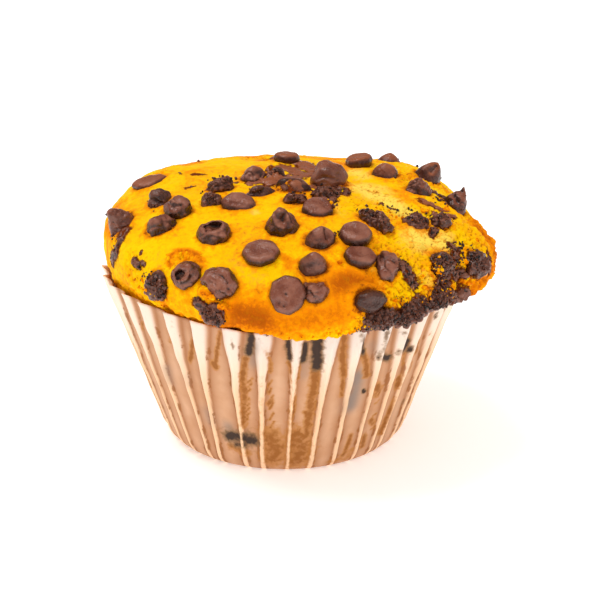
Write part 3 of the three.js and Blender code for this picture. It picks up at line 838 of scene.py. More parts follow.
def make_crumb(material, chocolate):
    """The crumb and the chocolate that melted over it. Gives the crumb and its skin before the relief."""
    chip_tree = all_chips()
    mesh = bare_crumb(chip_tree)
    smooth_skin = tree_of(mesh)
    melted, sheet = shape_crumb(mesh, chip_tree)
    make_melted(mesh, melted, sheet, chocolate)
    close_below(mesh)
    return finished_piece("baked_crumb", mesh, material, "crumb", "muffin"), smooth_skin


# Chips

CHIP_VOXEL = 0.17 * MM

# Sizes in mm of a chip's lumps, of the spaces between its folds and of its broken grain, how much of the
# space a fold takes up, and the relief of its skin
CHIP_LUMP = 2.6
FOLD_SPACING = 4.2
FOLD_SHARE = 0.22
BROKEN_GRAIN = 1.9
SKIN_GRAIN = (0.6, 0.03)

# How a chip looks: rounds of smoothing, what is added all round, how far it sank in, and the height of
# its soft lumps, its folds and its broken grain, all in mm
CHIP_LOOKS = {
    "smooth": {"rounds": 44, "swell": 0.26, "sink": 0.25, "lumps": 0.10, "folds": 0.04, "rough": 0.0},
    "folded": {"rounds": 18, "swell": 0.18, "sink": 0.15, "lumps": 0.30, "folds": 0.16, "rough": 0.12},
    "crumbly": {"rounds": 10, "swell": 0.14, "sink": 0.1, "lumps": 0.34, "folds": 0.22, "rough": 0.34},
}

# Chips that came out smaller in the oven than the drops they were: their size beside the solid's
SHRUNK = {4: 0.95, 24: 0.97, 26: 0.9, 28: 0.92, 29: 0.96, 30: 0.95, 32: 0.93, 35: 0.95, 39: 0.96}

# Chips that stand prouder than the others of their look: by how much, in mm
PROUD = {15: 0.3, 16: 0.3, 17: 0.3, 18: 0.4, 19: 0.2, 25: 0.9, 27: 0.3, 34: 0.3, 35: 0.2, 36: 0.2, 37: 0.2}
FOLDED = (1, 3, 4, 5, 7, 8, 10, 14, 15, 16, 20, 23, 31, 38, 39, 48, 50, 53)
CRUMBLY = (6, 9, 12, 13, 19, 27, 33, 40, 41, 42, 43, 44, 45, 46, 49, 52)

# How strongly the painted light shows on the upper side of a chip that is darker than the others of its
# look, and how much of it a chip has all over that is lighter than the others. Where it is missing, the
# sides of a chip are left in painted shade.
CRUMBLY_TOP_LIGHT = 0.4
TOP_LIGHT_FACING = (0.2, 0.9)
LESS_LIT = {5: 0.4, 6: 0.25, 14: 0.4, 16: 0.4, 32: 0.12, 42: 0.22, 43: 0.22, 44: 0.22, 45: 0.22, 46: 0.3}
MORE_LIT = {1: 0.5, 25: 0.6}

# Towards the back, from the first to the second of these places in mm, the chips look warmer
WARM_START = (-6, 10)
WARMEST = 0.9

# Marks on single chips: pixels of the photograph, width in mm, rise in mm, below 0 for a dent
CHIP_MARKS = {
    1: ((((116, 229), (124, 228)), 1.0, -0.6), (((110, 212), (116, 216)), 1.2, 0.3),
        (((118, 224), (126, 220)), 0.8, -0.25)),
    3: ((((166, 203), (174, 207), (182, 205)), 0.8, -0.45), (((176, 212), (184, 214)), 1.2, 0.3),
        (((180, 198), (186, 206)), 1.0, 0.3)),
    4: ((((164, 211), (170, 216), (175, 217)), 1.2, -0.7), (((154, 214), (158, 222)), 1.6, 0.25)),
    5: ((((148, 203), (154, 200), (160, 203)), 0.9, -0.55), (((154, 192), (164, 194)), 1.2, 0.3)),
    7: ((((177, 276), (181, 274)), 1.2, -0.9), (((190, 272), (192, 276)), 1.0, -0.7),
        (((184, 268), (188, 266)), 1.0, 0.4), (((180, 284), (188, 282)), 0.8, -0.3)),
    8: ((((214, 273), (222, 276), (227, 282), (229, 290)), 0.5, -0.35),
        (((208, 279), (215, 283)), 0.5, -0.2),
        (((204, 287), (214, 292)), 2.2, -0.7)),
    10: ((((208, 225), (212, 225.5), (217, 226)), 1.3, -1.2), (((210, 230), (211, 231)), 0.7, 0.6),
         (((222, 229), (226, 233)), 0.7, -0.25), (((216, 236), (224, 236)), 0.8, 0.25)),
    11: ((((228, 196), (240, 192), (250, 195)), 0.8, 0.25), (((232, 203), (244, 205)), 0.6, -0.2)),
    14: ((((252, 192), (262, 191), (272, 188)), 1.0, -0.5),),
    15: ((((262, 176), (264, 170)), 1.0, -0.7), (((250, 170), (256, 169)), 1.2, 0.3)),
    16: ((((274, 178), (282, 175)), 1.4, -0.9), (((268, 171), (278, 169)), 1.0, 0.35)),
    18: ((((278, 186), (290, 187), (298, 190)), 0.9, -0.6), (((286, 180), (300, 181)), 1.2, 0.3)),
    20: ((((282, 210), (282.5, 213)), 1.1, 0.5), (((284, 216), (283.5, 220)), 0.7, -0.7),
         (((275, 218), (277, 224), (283, 227.5)), 0.8, 0.4), (((287.5, 218), (291, 225)), 0.8, 0.35),
         (((280, 219), (281, 223)), 0.8, -0.4)),
    21: ((((252, 258), (262, 261), (272, 257)), 0.8, 0.15), (((258, 248), (266, 251)), 2.0, -0.12)),
    22: ((((279, 303), (283, 306)), 1.3, -1.0), (((286, 294), (286.5, 294.5)), 0.6, -0.35),
         (((272, 285), (286, 279), (298, 285)), 1.0, 0.15)),
    23: ((((316, 282), (320, 283)), 1.3, -0.9), (((308, 280), (310, 288)), 1.0, 0.3),
         (((314, 291), (320, 294)), 1.0, 0.3), (((310, 292), (313, 297)), 0.6, -0.4)),
    24: ((((304, 262), (312, 258), (322, 257)), 1.2, 0.2), (((310, 268), (320, 266)), 1.0, -0.15)),
    25: ((((317, 179.5), (324, 177), (330, 178), (338, 180)), 0.6, -0.4),
         (((315, 184), (324, 182), (338, 184)), 0.6, -0.35), (((337, 174), (339, 175)), 0.8, -0.4),
         (((322, 170), (334, 169)), 1.6, 0.2)),
    26: ((((309, 200), (314, 206), (320, 208)), 0.8, 0.25), (((318, 199), (324, 203)), 1.2, -0.25),
         (((322, 208), (330, 203)), 0.6, -0.2)),
    28: ((((319, 224), (321, 222)), 1.3, 0.5), (((326, 230), (328, 238)), 0.9, -0.7),
         (((332, 236), (338, 232)), 1.2, 0.4), (((314, 232), (318, 238)), 0.8, 0.2)),
    29: ((((346, 228), (350, 226)), 1.2, -0.2), (((358, 230), (364, 228)), 1.2, -0.2),
         (((352, 235), (358, 237)), 1.0, 0.15)),
    30: ((((350, 252), (360, 256), (370, 254)), 0.8, -0.2), (((352, 259), (364, 260)), 0.7, 0.15)),
    31: ((((384, 262), (390, 259), (396, 262)), 0.9, -0.6), (((386, 254), (392, 253)), 1.4, 0.4),
         (((396, 268), (400, 273)), 1.2, 0.35)),
    32: ((((360, 299), (370, 296), (380, 297)), 1.0, 0.25), (((358, 304), (362, 310)), 1.4, -0.5)),
    34: ((((352, 154), (366, 153)), 1.4, 0.2),),
    37: ((((424, 170), (430, 166)), 1.0, 0.3), (((432, 172), (436, 167)), 0.7, -0.4)),
    38: ((((414, 180), (422, 179)), 1.4, 0.25), (((410, 189), (418, 192)), 0.8, -0.4)),
    39: ((((460, 190), (463, 192)), 0.9, -0.5),
         (((447, 192), (452, 198)), 1.2, 0.4), (((454, 196), (458, 202)), 0.7, -0.6)),
}


def chip_look(number):
    """The look of a chip by its number."""
    if number in CRUMBLY:
        return CHIP_LOOKS["crumbly"]
    return CHIP_LOOKS["folded" if number in FOLDED else "smooth"]


def softened_chip(name, number, look, skin):
    """The solid of a chip with its corners melted away, at its size and its depth in the crumb. Gives the
    mesh, its corners and the direction that is up on the crumb beneath it."""
    remesh = ("REMESH", {"mode": "VOXEL", "voxel_size": CHIP_VOXEL})
    mesh = modified(from_bmesh(name, solid_bmesh(name)), remesh)
    points = relaxed(points_of(mesh), edges_of(mesh), look["rounds"])
    foot, up = map(np.array, skin.find_nearest(Vector(points.mean(axis=0)))[:2])
    stands_out = PROUD.get(number, 0) - look["sink"]
    points = foot + (points - foot) * SHRUNK.get(number, 1) + up * stands_out * MM
    move_points(mesh, points)
    return mesh, points, up


def make_chip(name, skin, material):
    """A baked chip: softened, with its lumps, folds and grain, and with the marks of the photograph."""
    number = int(name.split("_")[-1])
    look = chip_look(number)
    mesh, points, up = softened_chip(name, number, look, skin)
    edges, normals = edges_of(mesh), normals_of(mesh)
    tree = tree_of(mesh)
    height = look["swell"] + look["lumps"] * waves(points, CHIP_LUMP, seed=number, octaves=2)
    from_fold = np.abs(waves(points, FOLD_SPACING, seed=number + 30, octaves=2))
    height -= look["folds"] * smooth_step(FOLD_SHARE, 0.0, from_fold)
    height += look["rough"] * waves(points, BROKEN_GRAIN, seed=number + 90, roughness=0.6)
    height += lumps(points, SKIN_GRAIN, seed=number + 60, octaves=2)
    for pixels, width, rise in CHIP_MARKS.get(number, ()):
        height += rise * mark_cover(points, tree, pixels, width)
    points = points + normals * (height * MM)[:, None]
    move_points(mesh, points)

    normals = normals_of(mesh)
    # Painted shade in creases, painted highlight on ridges
    set_value(mesh, "crease", hollowness(points, normals, edges, 6))
    warmth = BROKEN_WARMTH if number in CRUMBLY else 0
    set_value(mesh, "warm", np.maximum(WARMEST * smooth_step(*WARM_START, points[:, 1] / MM), warmth))
    # Painted light on the upward face of a chip, painted shade on its sides
    top_light_share = LESS_LIT.get(number, CRUMBLY_TOP_LIGHT if number in CRUMBLY else 1)
    top_light_share = top_light_share * smooth_step(*TOP_LIGHT_FACING, normals @ up)
    set_value(mesh, "top", np.maximum(top_light_share, MORE_LIT.get(number, 0)))
    return finished_piece("baked_" + name, mesh, material, "chocolate", name)


# Loose bits

# Zones strewn with broken chocolate: pixels of the photograph, width in mm, number of bits
CHOCOLATE_BITS = (
    (((148, 202), (152, 206), (158, 207)), 1.2, 16),
    (((203, 192), (210, 198), (216, 200)), 1.8, 24),
    (((207, 182), (222, 178), (232, 184)), 2, 18),
    (((248, 190), (262, 192)), 1.4, 12),
    (((284, 192), (296, 196), (304, 194)), 1.6, 20),
    (((310, 188), (330, 190), (338, 196), (334, 204)), 2.4, 50),
    (((346, 190), (349, 195)), 1, 9),
    (((338, 230), (335, 238)), 1, 6),
    (((360, 210), (370, 212), (384, 222), (394, 230)), 2.0, 44),
    (((380, 204), (392, 207), (404, 218)), 1.2, 6),
    (((408, 214), (418, 218), (432, 222)), 2.4, 44),
    (((434, 198), (450, 206)), 1.4, 14),
    (((434, 214), (450, 220)), 2, 22),
    (((432, 230), (438, 233)), 1.2, 8),
    (((398, 258), (406, 264)), 1.6, 14),
    (((402, 268), (408, 276), (416, 288)), 1.8, 30),
    (((432, 256), (448, 262)), 2.4, 34),
    (((450, 246), (446, 268), (442, 290), (438, 304)), 3.8, 120),
    (((456, 244), (462, 258), (458, 278)), 2.4, 60),
    (((470, 250), (478, 262), (484, 272)), 3, 60),
    (((372, 324), (386, 324), (402, 318)), 3.6, 110),
    (((402, 320), (422, 312), (444, 304), (462, 296)), 3.6, 190),
    (((384, 330), (410, 324)), 1.4, 26),
    (((398, 296), (406, 304), (404, 312)), 1.8, 22),
    (((203, 308), (212, 318), (220, 326)), 2.8, 60),
    (((146, 274), (156, 284), (160, 296)), 2.6, 50),
    (((162, 292), (166, 298)), 1.2, 10),
    (((134, 260), (138, 268)), 1.2, 8),
    (((228, 329), (240, 331)), 1.0, 12),
    (((354, 331), (370, 327)), 1.4, 14),
    (((112, 234), (118, 246), (112, 258)), 1.5, 16),
)

# Zones with torn bits of crumb
CRUMB_BITS = (
    (((215, 300), (224, 308), (222, 302)), 1.8, 12),
    (((380, 204), (410, 222)), 3, 14),
    (((405, 262), (430, 286), (420, 300)), 4, 26),
    (((436, 262), (440, 280), (448, 294)), 3.4, 44),
    (((130, 272), (150, 296), (176, 318)), 3, 30),
    (((200, 330), (262, 338), (340, 334), (372, 328)), 1.6, 60),
    (((170, 258), (186, 252), (200, 260)), 2, 12),
    (((328, 204), (346, 208)), 2, 6),
)

# Larger torn bits of crumb that lie on or beside a chip: pixel and size in mm
CRUMB_LUMPS = (
    ((207, 291), 3.2), ((212, 296), 1.9), ((224, 305), 2.2), ((228, 308), 1.4), ((340, 262), 1.0),
    ((425, 212), 1.6), ((446, 210), 1.4), ((395, 300), 1.2), ((476, 240), 1.4), ((468, 284), 1.5),
    ((463, 282), 1.8), ((466, 262), 1.4), ((424, 288), 1.6),
)

# Their height beside their width, and in mm the size and rise of their relief and of their pits
LUMP_FLATNESS = 0.6
LUMP_RELIEF = (1.6, 0.35)
LUMP_PIT = (0.9, 0.25)

# Bits: their smallest and largest size in mm, how much commoner the small ones are, their length, breadth and
# height beside their size, how far their corners lie in or stand out, how much darker or lighter they are,
# and the sides and rings of the ball they start from
BIT_SIZES = (0.28, 0.95)
BIT_RARENESS = 1.6
BIT_SHAPE = ((0.7, 1.4), (0.6, 1.1), (0.45, 0.9))
BIT_ROUGHNESS = (-0.3, 0.25)
BIT_SHADES = (-0.06, 0.1)
BIT_SIDES = 7
BIT_RINGS = 5
BITS_LOWEST = 33 * MM

# Bits on the side that the photograph doesn't show: their number, the pixels between which the camera would
# see them from behind, how low they lie, how close to a chip, and how far they face away from the photograph
BACK_BITS = 130
BACK_TURN = 180
BACK_ACROSS = (110, 470)
BACK_DOWN = (170, 320)
BACK_LOWEST = 36 * MM
BACK_REACH = 1.4 * MM
BACK_FACING = -0.1


def strewn(tree, zones, seed):
    """Places with their normals, spread at random over zones of the photograph."""
    draw = random.Random(seed)
    spots = []
    for pixels, width, count in zones:
        for _ in range(count):
            i = draw.randrange(max(1, len(pixels) - 1))
            a, b = Vector(pixels[i]), Vector(pixels[min(i + 1, len(pixels) - 1)])
            spread = width * PX_PER_MM / 4
            pixel = a.lerp(b, draw.random()) + Vector((draw.gauss(0, spread), draw.gauss(0, spread)))
            place, normal = seen_at(tree, pixel)
            if place is not None and place.z > BITS_LOWEST:
                spots.append((place, normal))
    return spots


def strewn_behind(tree, chip_tree, count, seed):
    """Places near the chips of the side that the photograph doesn't show."""
    draw = random.Random(seed)
    spots = []
    while len(spots) < count:
        pixel = (draw.uniform(*BACK_ACROSS), draw.uniform(*BACK_DOWN))
        place, normal = seen_at(tree, pixel, BACK_TURN)
        if place is None or place.z < BACK_LOWEST or normal.dot(view_back) > BACK_FACING:
            continue
        if chip_tree.find_nearest(place)[3] < BACK_REACH:
            spots.append((place, normal))
    return spots


def make_bits(name, spots, seed, material, slot):
    """Small rough lumps joined in one mesh, each pressed a little into what it lies on."""
    draw = random.Random(seed)
    bm = bmesh.new()
    bmesh.ops.create_uvsphere(bm, u_segments=BIT_SIDES, v_segments=BIT_RINGS, radius=0.5)
    lump = from_bmesh("bit", bm)
    corners = points_of(lump)
    mesh = modified(lump, ("ARRAY", {"count": len(spots)}))
    smallest, largest = BIT_SIZES
    places = []
    shades = []
    for place, normal in spots:
        size = MM * smallest * (largest / smallest) ** (draw.random() ** BIT_RARENESS)
        turn = np.array(Euler([draw.uniform(0, 2 * math.pi) for _ in range(3)]).to_matrix())
        shape = np.array([draw.uniform(*span) for span in BIT_SHAPE]) * size
        rough = np.array([1 + draw.uniform(*BIT_ROUGHNESS) for _ in corners])
        places.append(np.array(place + normal * size * 0.15) + (corners * shape) @ turn.T * rough[:, None])
        shades += [draw.uniform(*BIT_SHADES)] * len(corners)
    move_points(mesh, np.concatenate(places))
    set_value(mesh, "crease", shades)
    # Painted light on their upper sides
    set_value(mesh, "top", np.clip(normals_of(mesh)[:, 2] * 0.55, 0, 1))
    set_value(mesh, "brown", [0.5 + 6 * shade for shade in shades])
    set_value(mesh, "warm", np.full(len(shades), BROKEN_WARMTH))
    return finished_piece(name, mesh, material, slot)


def make_lumps(tree, material):
    """Torn bits of crumb, large enough to see their pores."""
    bm = bmesh.new()
    for pixel, size in CRUMB_LUMPS:
        place, normal = seen_at(tree, pixel)
        flat = Matrix.Diagonal((1, 1, LUMP_FLATNESS, 1))
        where = Matrix.Translation(place + normal * size * 0.12 * MM) @ flat
        bmesh.ops.create_icosphere(bm, subdivisions=4, radius=size / 2 * MM, matrix=where)
    bmesh.ops.recalc_face_normals(bm, faces=bm.faces)
    mesh = from_bmesh("crumb_lumps", bm)
    points, normals = points_of(mesh), normals_of(mesh)
    pits = LUMP_PIT[1] * smooth_step(0.3, 0.1, cells(points, LUMP_PIT[0], seed=72)[0])
    height = lumps(points, LUMP_RELIEF, seed=71) - pits
    points = points + normals * (height * MM)[:, None]
    move_points(mesh, points)
    set_value(mesh, "brown", 0.95 + 0.5 * waves(points, 1.5, seed=73))
    set_value(mesh, "craggy", np.ones(len(points)))
    # Painted shade in the creases
    set_value(mesh, "crease", hollowness(points, normals_of(mesh), edges_of(mesh), 3))
    return finished_piece("crumb_lumps", mesh, material, "crumb")


# Paper case

# The plain cup: its columns and rows, how the rows gather towards the foot and the columns towards the front,
# and the radii in mm of the rings of its foot
CASE_COLUMNS = 640
CASE_ROWS = 72
ROW_GATHER = 1.15
FRONT_GATHER = 0.42
FRONT = 270
FOOT_RINGS = (0.0, 8.0, 15.0, 20.0)

# The pleats: how far in mm the rim rises over a ridge, how far in degrees the ridges behind stray from an
# even spacing and lean, and how far all of them waver
SCALLOP_RISE = 0.9
RIDGE_STRAY = 0.5
RIDGE_LEAN = 1.4
RIDGE_WAVER = 0.3

# At the left edge of the photograph the case shows edge on, with lower scallops: azimuth and spread
EDGE_ON = (200, 16)

# The ridges that the photograph shows: azimuth at the rim and at the foot
FRONT_RIDGES = (
    (241.5, 238.4), (252.5, 251.5), (263.0, 259.5), (274.0, 271.0), (285.5, 281.5),
    (294.7, 292.8), (304.4, 304.0), (312.5, 313.6), (320.5, 319.6),
)

# Half the width of a ridge at shares of the height, as shares of half the spacing of the pleats
RIDGE_BREADTH = ((0.0, 0.30), (0.15, 0.26), (0.45, 0.24), (0.7, 0.38), (0.85, 0.56), (1.0, 0.72))

# How much broader a ridge's flank is on the side that faces the front, and the azimuth of that front
FLANK_SKEW = 0.5
SKEW_MIDDLE = 272

# Small waves of the paper in its grooves: size and rise in mm
GROOVE_WAVE = (6, 0.12)
GROOVE_CREASE = (1.6, 0.05)

# Marks on the paper: pixels of the photograph, width in mm, strength
PAPER_GREASE = (
    (((143, 322), (142, 345)), 0.7, 0.8),
    (((172, 322), (170, 342)), 0.6, 0.6),
    (((195, 322), (193, 340), (190, 361)), 0.9, 1.0),
    (((220, 332), (217, 350), (215, 367)), 0.8, 0.95),
    (((214, 363), (216, 367)), 1.2, 1.1),
    (((246, 358), (243, 372), (242, 380)), 1.2, 0.95),
    (((243, 384), (245, 398), (243, 412)), 1.3, 0.85),
    (((243, 414), (240, 428)), 1.4, 0.95),
    (((262, 348), (270, 360), (270, 372)), 0.8, 0.7),
    (((268, 404), (272, 400)), 0.8, 0.9),
    (((261, 376), (260, 410), (259, 428)), 0.7, 0.8),
    (((289, 362), (291, 375), (292, 384)), 0.9, 0.9),
    (((300, 362), (298, 378)), 0.6, 0.8),
    (((294, 398), (293, 410), (290, 425)), 1.1, 0.95),
    (((315, 366), (314, 380), (312, 396)), 1.6, 1.0),
    (((311, 398), (309, 415), (306, 430)), 1.5, 0.95),
    (((344, 336), (342, 355), (343, 376)), 1.2, 1.0),
    (((343, 378), (341, 396)), 0.8, 0.8),
    (((363, 352), (366, 364), (366, 376)), 1.2, 1.0),
    (((376, 386), (378, 390)), 1.8, 0.95),
    (((374, 394), (377, 396)), 1.0, 0.8),
    (((399, 378), (398, 386)), 1.8, 1.0),
    (((404, 354), (402, 364)), 0.9, 0.8),
    (((418, 342), (416, 352)), 1.0, 0.9),
    (((431, 334), (427, 352)), 0.8, 0.9),
    (((412, 362), (409, 372)), 0.8, 0.7),
    (((395, 402), (388, 416), (380, 432)), 1.5, 1.0),
    (((371, 420), (372, 424)), 1.2, 0.9),
    (((350, 436), (346, 448), (342, 456)), 1.1, 0.9),
    (((364, 436), (362, 446)), 1.2, 0.95),
    (((306, 412), (308, 424), (305, 436)), 1.3, 0.95),
    (((270, 436), (276, 448), (272, 458)), 4.0, 0.9),
    (((296, 436), (300, 448), (296, 460)), 4.4, 0.9),
    (((232, 446), (244, 454)), 2.0, 0.8),
    (((330, 462), (345, 458), (352, 450)), 1.6, 0.6),
)

# Short slanted strokes of grease beside the ridges: first and last pixel, slant in pixels and number of
# strokes, and below them the width of a stroke in mm
GREASE_STROKES = (
    ((246, 384), (243, 430), (6, -5), 9),
    ((268, 386), (270, 428), (4, -6), 6),
    ((292, 388), (288, 430), (5, -6), 8),
    ((314, 372), (306, 432), (6, -6), 11),
    ((299, 430), (300, 458), (6, -3), 6),
    ((376, 394), (370, 430), (5, -3), 4),
    ((343, 350), (341, 384), (3, -3), 6),
)
STROKE_WIDTH = 0.5

# Stains of cocoa, which near the rim are partly painted shade between the fans, and, after them, the
# shadows of chips behind the paper
PAPER_COCOA_AND_SHADE = (
    (((252, 335), (250, 345), (248, 353)), 1.3, 1.1),
    (((259, 335), (261, 342)), 0.8, 0.9),
    (((230, 338), (233, 348)), 0.5, 0.9),
    (((288, 340), (289, 350), (290, 359)), 1.1, 1.1),
    (((305, 344), (304, 352), (302, 361)), 1.3, 1.1),
    (((317, 338), (317, 352), (317, 366)), 2.0, 1.1),
    (((362, 334), (363, 344), (363, 353)), 0.9, 1.1),
    (((388, 333), (387, 344), (384, 352)), 1.1, 1.1),
    (((380, 357.5), (388, 358)), 1.3, 1.1),
    (((406, 333), (407, 342), (404, 350)), 1.2, 1.0),
    (((400, 352), (410, 350)), 1.3, 1.1),
    (((230, 436), (240, 438), (252, 440)), 2.8, 1.0),
    (((236, 444), (244, 446)), 1.6, 0.8),
    (((363, 390.5), (364, 392)), 0.7, 1.2),
    (((408, 398), (402, 402)), 1.0, 0.5),
    (((436, 314), (436, 318)), 0.7, 0.8),
)
PAPER_SHADE = (
    (((358, 376), (354, 392), (350, 406)), 2.6, 0.9),
    (((256, 345), (254, 362)), 2.6, 0.55),
    (((306, 362), (304, 374)), 2.4, 0.4),
    (((372, 345), (376, 352)), 2.0, 0.35),
    (((208, 412), (210, 420)), 2.2, 0.4),
    (((165, 368), (167, 382)), 1.8, 0.6),
    (((228, 426), (232, 438)), 2.0, 0.6),
    (((186, 376), (187, 384)), 1.2, 0.35),
)


def ridge_radius(z):
    """The radius over the ridges at a height, rounded in to the flat foot, all in mm."""
    below = np.clip(1 - np.asarray(z, float) / CORNER_RADIUS, 0, 1)
    tuck = CORNER_RADIUS * math.tan(math.radians(TUCK_ANGLE)) * (1 - np.sqrt(1 - below * below))
    return FOOT_RADIUS + FLARE * np.asarray(z, float) - tuck


def pleat_depth(z):
    """How deep the pleats are at a height, both in mm."""
    share = np.clip(np.asarray(z, float) / CASE_HEIGHT, 0, 1.1)
    return PLEAT_DEPTH_LOW + (PLEAT_DEPTH_HIGH - PLEAT_DEPTH_LOW) * share


def rim_height(azimuth):
    """The height of the rim, in mm, with its raised sides."""
    rise = sum(r * np.exp(-0.5 * (turn_between(azimuth, a) / spread) ** 2) for a, spread, r in RAISED_SIDES)
    return CASE_HEIGHT + rise


def all_ridges():
    """Azimuth at the rim and at the foot of each ridge: those of the photograph, the others evenly spread."""
    draw = random.Random(12)
    ridges = list(FRONT_RIDGES)
    first, last = FRONT_RIDGES[0][0] + 360, FRONT_RIDGES[-1][0]
    others = PLEATS - len(ridges)
    for i in range(others):
        rim = last + (first - last) * (i + 1) / (others + 1) + draw.uniform(-RIDGE_STRAY, RIDGE_STRAY)
        ridges.append((rim % 360, (rim + draw.uniform(-RIDGE_LEAN, RIDGE_LEAN)) % 360))
    return ridges


def case_sheet():
    """The case as a plain cup of one layer, from the middle of its foot up to its rim: a grid that is rolled
    round and closed. Its columns stand closer together at the front."""
    profile = [(r, 0.0) for r in FOOT_RINGS]
    levels = CASE_HEIGHT * np.linspace(0, 1, CASE_ROWS) ** ROW_GATHER
    profile += [(float(ridge_radius(z)), z) for z in levels]
    bm = bmesh.new()
    bmesh.ops.create_grid(bm, x_segments=CASE_COLUMNS, y_segments=len(profile) - 1, size=0.5)
    for vert in bm.verts:
        turn = 2 * math.pi * (vert.co.x + 0.5)
        azimuth = math.radians(FRONT) + turn - FRONT_GATHER * math.sin(turn)
        radius, z = profile[round((vert.co.y + 0.5) * (len(profile) - 1))]
        vert.co = Vector((radius * math.cos(azimuth), radius * math.sin(azimuth), z)) * MM
    bmesh.ops.remove_doubles(bm, verts=bm.verts, dist=MERGE_DISTANCE)
    bmesh.ops.recalc_face_normals(bm, faces=bm.faces)
    return from_bmesh("paper_case", bm)


def pleated(azimuth, share):
    """How far each point lies up a ridge, from 0 on a panel to 1 on the fold line, and how many degrees
    it is away from the nearest ridge."""
    draw = random.Random(5)
    breadth = np.interp(share, *zip(*RIDGE_BREADTH)) * 180 / PLEATS
    skew = FLANK_SKEW * np.tanh((SKEW_MIDDLE - azimuth) / 25) * smooth_step(0.35, 0.8, share)
    skew *= smooth_step(150, 190, azimuth) * smooth_step(390, 350, azimuth)
    levels = np.linspace(0, 1.1, 60)
    crest = np.zeros(len(azimuth))
    gap = np.full(len(azimuth), 360.0)
    for rim, foot in all_ridges():
        own_breadth = breadth * draw.uniform(0.85, 1.15)
        own_height = draw.uniform(0.85, 1.1)
        waver = RIDGE_WAVER * np.array([noise.noise(Vector((rim, level * 9, 0))) for level in levels])
        middle = foot + turn_between(rim, foot) * share + np.interp(share, levels, waver)
        off = turn_between(azimuth, middle)
        flank = own_breadth * (1 + np.where(off > 0, skew, -skew))
        crest = np.maximum(crest, own_height * np.clip(1 - np.abs(off) / flank, 0, 1))
        gap = np.minimum(gap, np.abs(off) - flank)
    return 1 - (1 - np.clip(crest, 0, 1)) ** 1.3, np.clip(gap, 0, None)


def near_azimuth(azimuth, middle, spread):
    """From 1 at an azimuth down to 0 away from it, all in degrees."""
    return np.exp(-0.5 * (turn_between(azimuth, middle) / spread) ** 2)


def fold_case(mesh):
    """Presses the plain cup into pleats. Gives of each point its azimuth, its share of the height, whether it
    is on the wall, how far up a ridge it lies and how far in mm from the nearest one."""
    points = points_of(mesh)
    azimuth = np.degrees(np.arctan2(points[:, 1], points[:, 0])) % 360
    radius = np.hypot(points[:, 0], points[:, 1]) / MM
    share = points[:, 2] / MM / CASE_HEIGHT
    crest, gap = pleated(azimuth, share)
    wall = radius > FOOT_RINGS[-1] + 1
    edge_on = near_azimuth(azimuth, *EDGE_ON)
    z = share * (rim_height(azimuth) + SCALLOP_RISE * crest * (1 - 0.8 * edge_on) - 0.3)
    depth = pleat_depth(z) * smooth_step(0, 3, z) * (1 - 0.35 * edge_on)
    groove = lumps(points, GROOVE_WAVE, seed=31, octaves=2)
    groove += lumps(points * (1, 1, 0.3), GROOVE_CREASE, seed=32, octaves=2)
    new_radius = np.where(wall, ridge_radius(z) - depth * (1 - crest) + groove * smooth_step(2, 8, z), radius)
    angle = np.radians(azimuth)
    moved = np.stack([new_radius * np.cos(angle), new_radius * np.sin(angle), np.where(wall, z, 0)], axis=1)
    move_points(mesh, moved * MM)
    return azimuth, share, wall, crest, np.radians(gap) * new_radius


def colour_case(mesh, azimuth, share, wall, crest, away):
    """The values that the paper's material reads: where it rests on the crumb or stands free, where grease
    and painted shade darken it beside the ridges, where it is stained, in places near the rim partly with
    painted shade, and where it is shaded from behind."""
    tree = tree_of(mesh)
    points = points_of(mesh)
    fan = smooth_step(0.45, 0.9, share) * smooth_step(0.0, 0.35, crest)
    panel = smooth_step(0.6, 0.3, crest)
    set_value(mesh, "contact", np.where(wall, smooth_step(0.55, 0.15, crest), 0.5))
    set_value(mesh, "fan", fan)
    lumpy = np.clip(0.45 + 1.1 * waves(points * (1, 1, 0.4), 1.7, seed=35, octaves=4, roughness=0.6), 0, 1.2)
    # The fold and edge values darken the panel beside each ridge: partly grease, partly painted shade where
    # the panel meets the ridge
    fold_grease_and_shade = np.exp(-away / 0.5) * panel * lumpy
    set_value(mesh, "fold", fold_grease_and_shade * (1.15 - 0.55 * share) * smooth_step(1.0, 0.85, share))
    set_value(mesh, "edge", np.exp(-away / 1.1) * panel * (1 - 0.6 * fan))
    set_value(mesh, "cool", smooth_step(0.72, 0.98, share) * near_azimuth(azimuth, 285, 30) * 0.9)

    unseen = smooth_step(3, 13, points[:, 1] / MM)
    blotches = smooth_step(0.1, 0.6, waves(points * (1, 1, 0.35), 2.4, seed=33))
    low_or_high = smooth_step(0.35, 0.0, share) + smooth_step(0.7, 1.0, share)
    behind = unseen * blotches * np.clip(0.35 + low_or_high, 0, 1) * (1 - crest)
    strokes = [(((x, y), (x + dx, y + dy)), STROKE_WIDTH, 0.85) for x, y, dx, dy in grease_strokes()]
    grease = np.maximum(behind, drawn(points, tree, PAPER_GREASE + tuple(strokes)))
    set_value(mesh, "grease", grease * (1 - 0.75 * smooth_step(0.3, 0.9, crest)))
    spots = smooth_step(0.3, 0.7, waves(points * (1, 1, 0.5), 5, seed=34))
    # Cocoa stains, near the rim partly painted shade
    cocoa = np.maximum(drawn(points, tree, PAPER_COCOA_AND_SHADE), unseen * spots * (1 - crest) * 0.8)
    set_value(mesh, "cocoa", cocoa * (1 - 0.75 * smooth_step(0.5, 1.0, crest)))
    set_value(mesh, "shade", drawn(points, tree, PAPER_SHADE) * (1 - 0.6 * crest))


def make_case(material):
    """The pleated case, given the thickness of its paper inwards."""
    mesh = case_sheet()
    colour_case(mesh, *fold_case(mesh))
    piece = finished_piece("pleated_paper_case", mesh, material, "paper", "paper_case")
    wall_step = piece.modifiers.new("wall", "SOLIDIFY")
    wall_step.thickness = PAPER_WALL * MM
    wall_step.offset = -1
    return piece


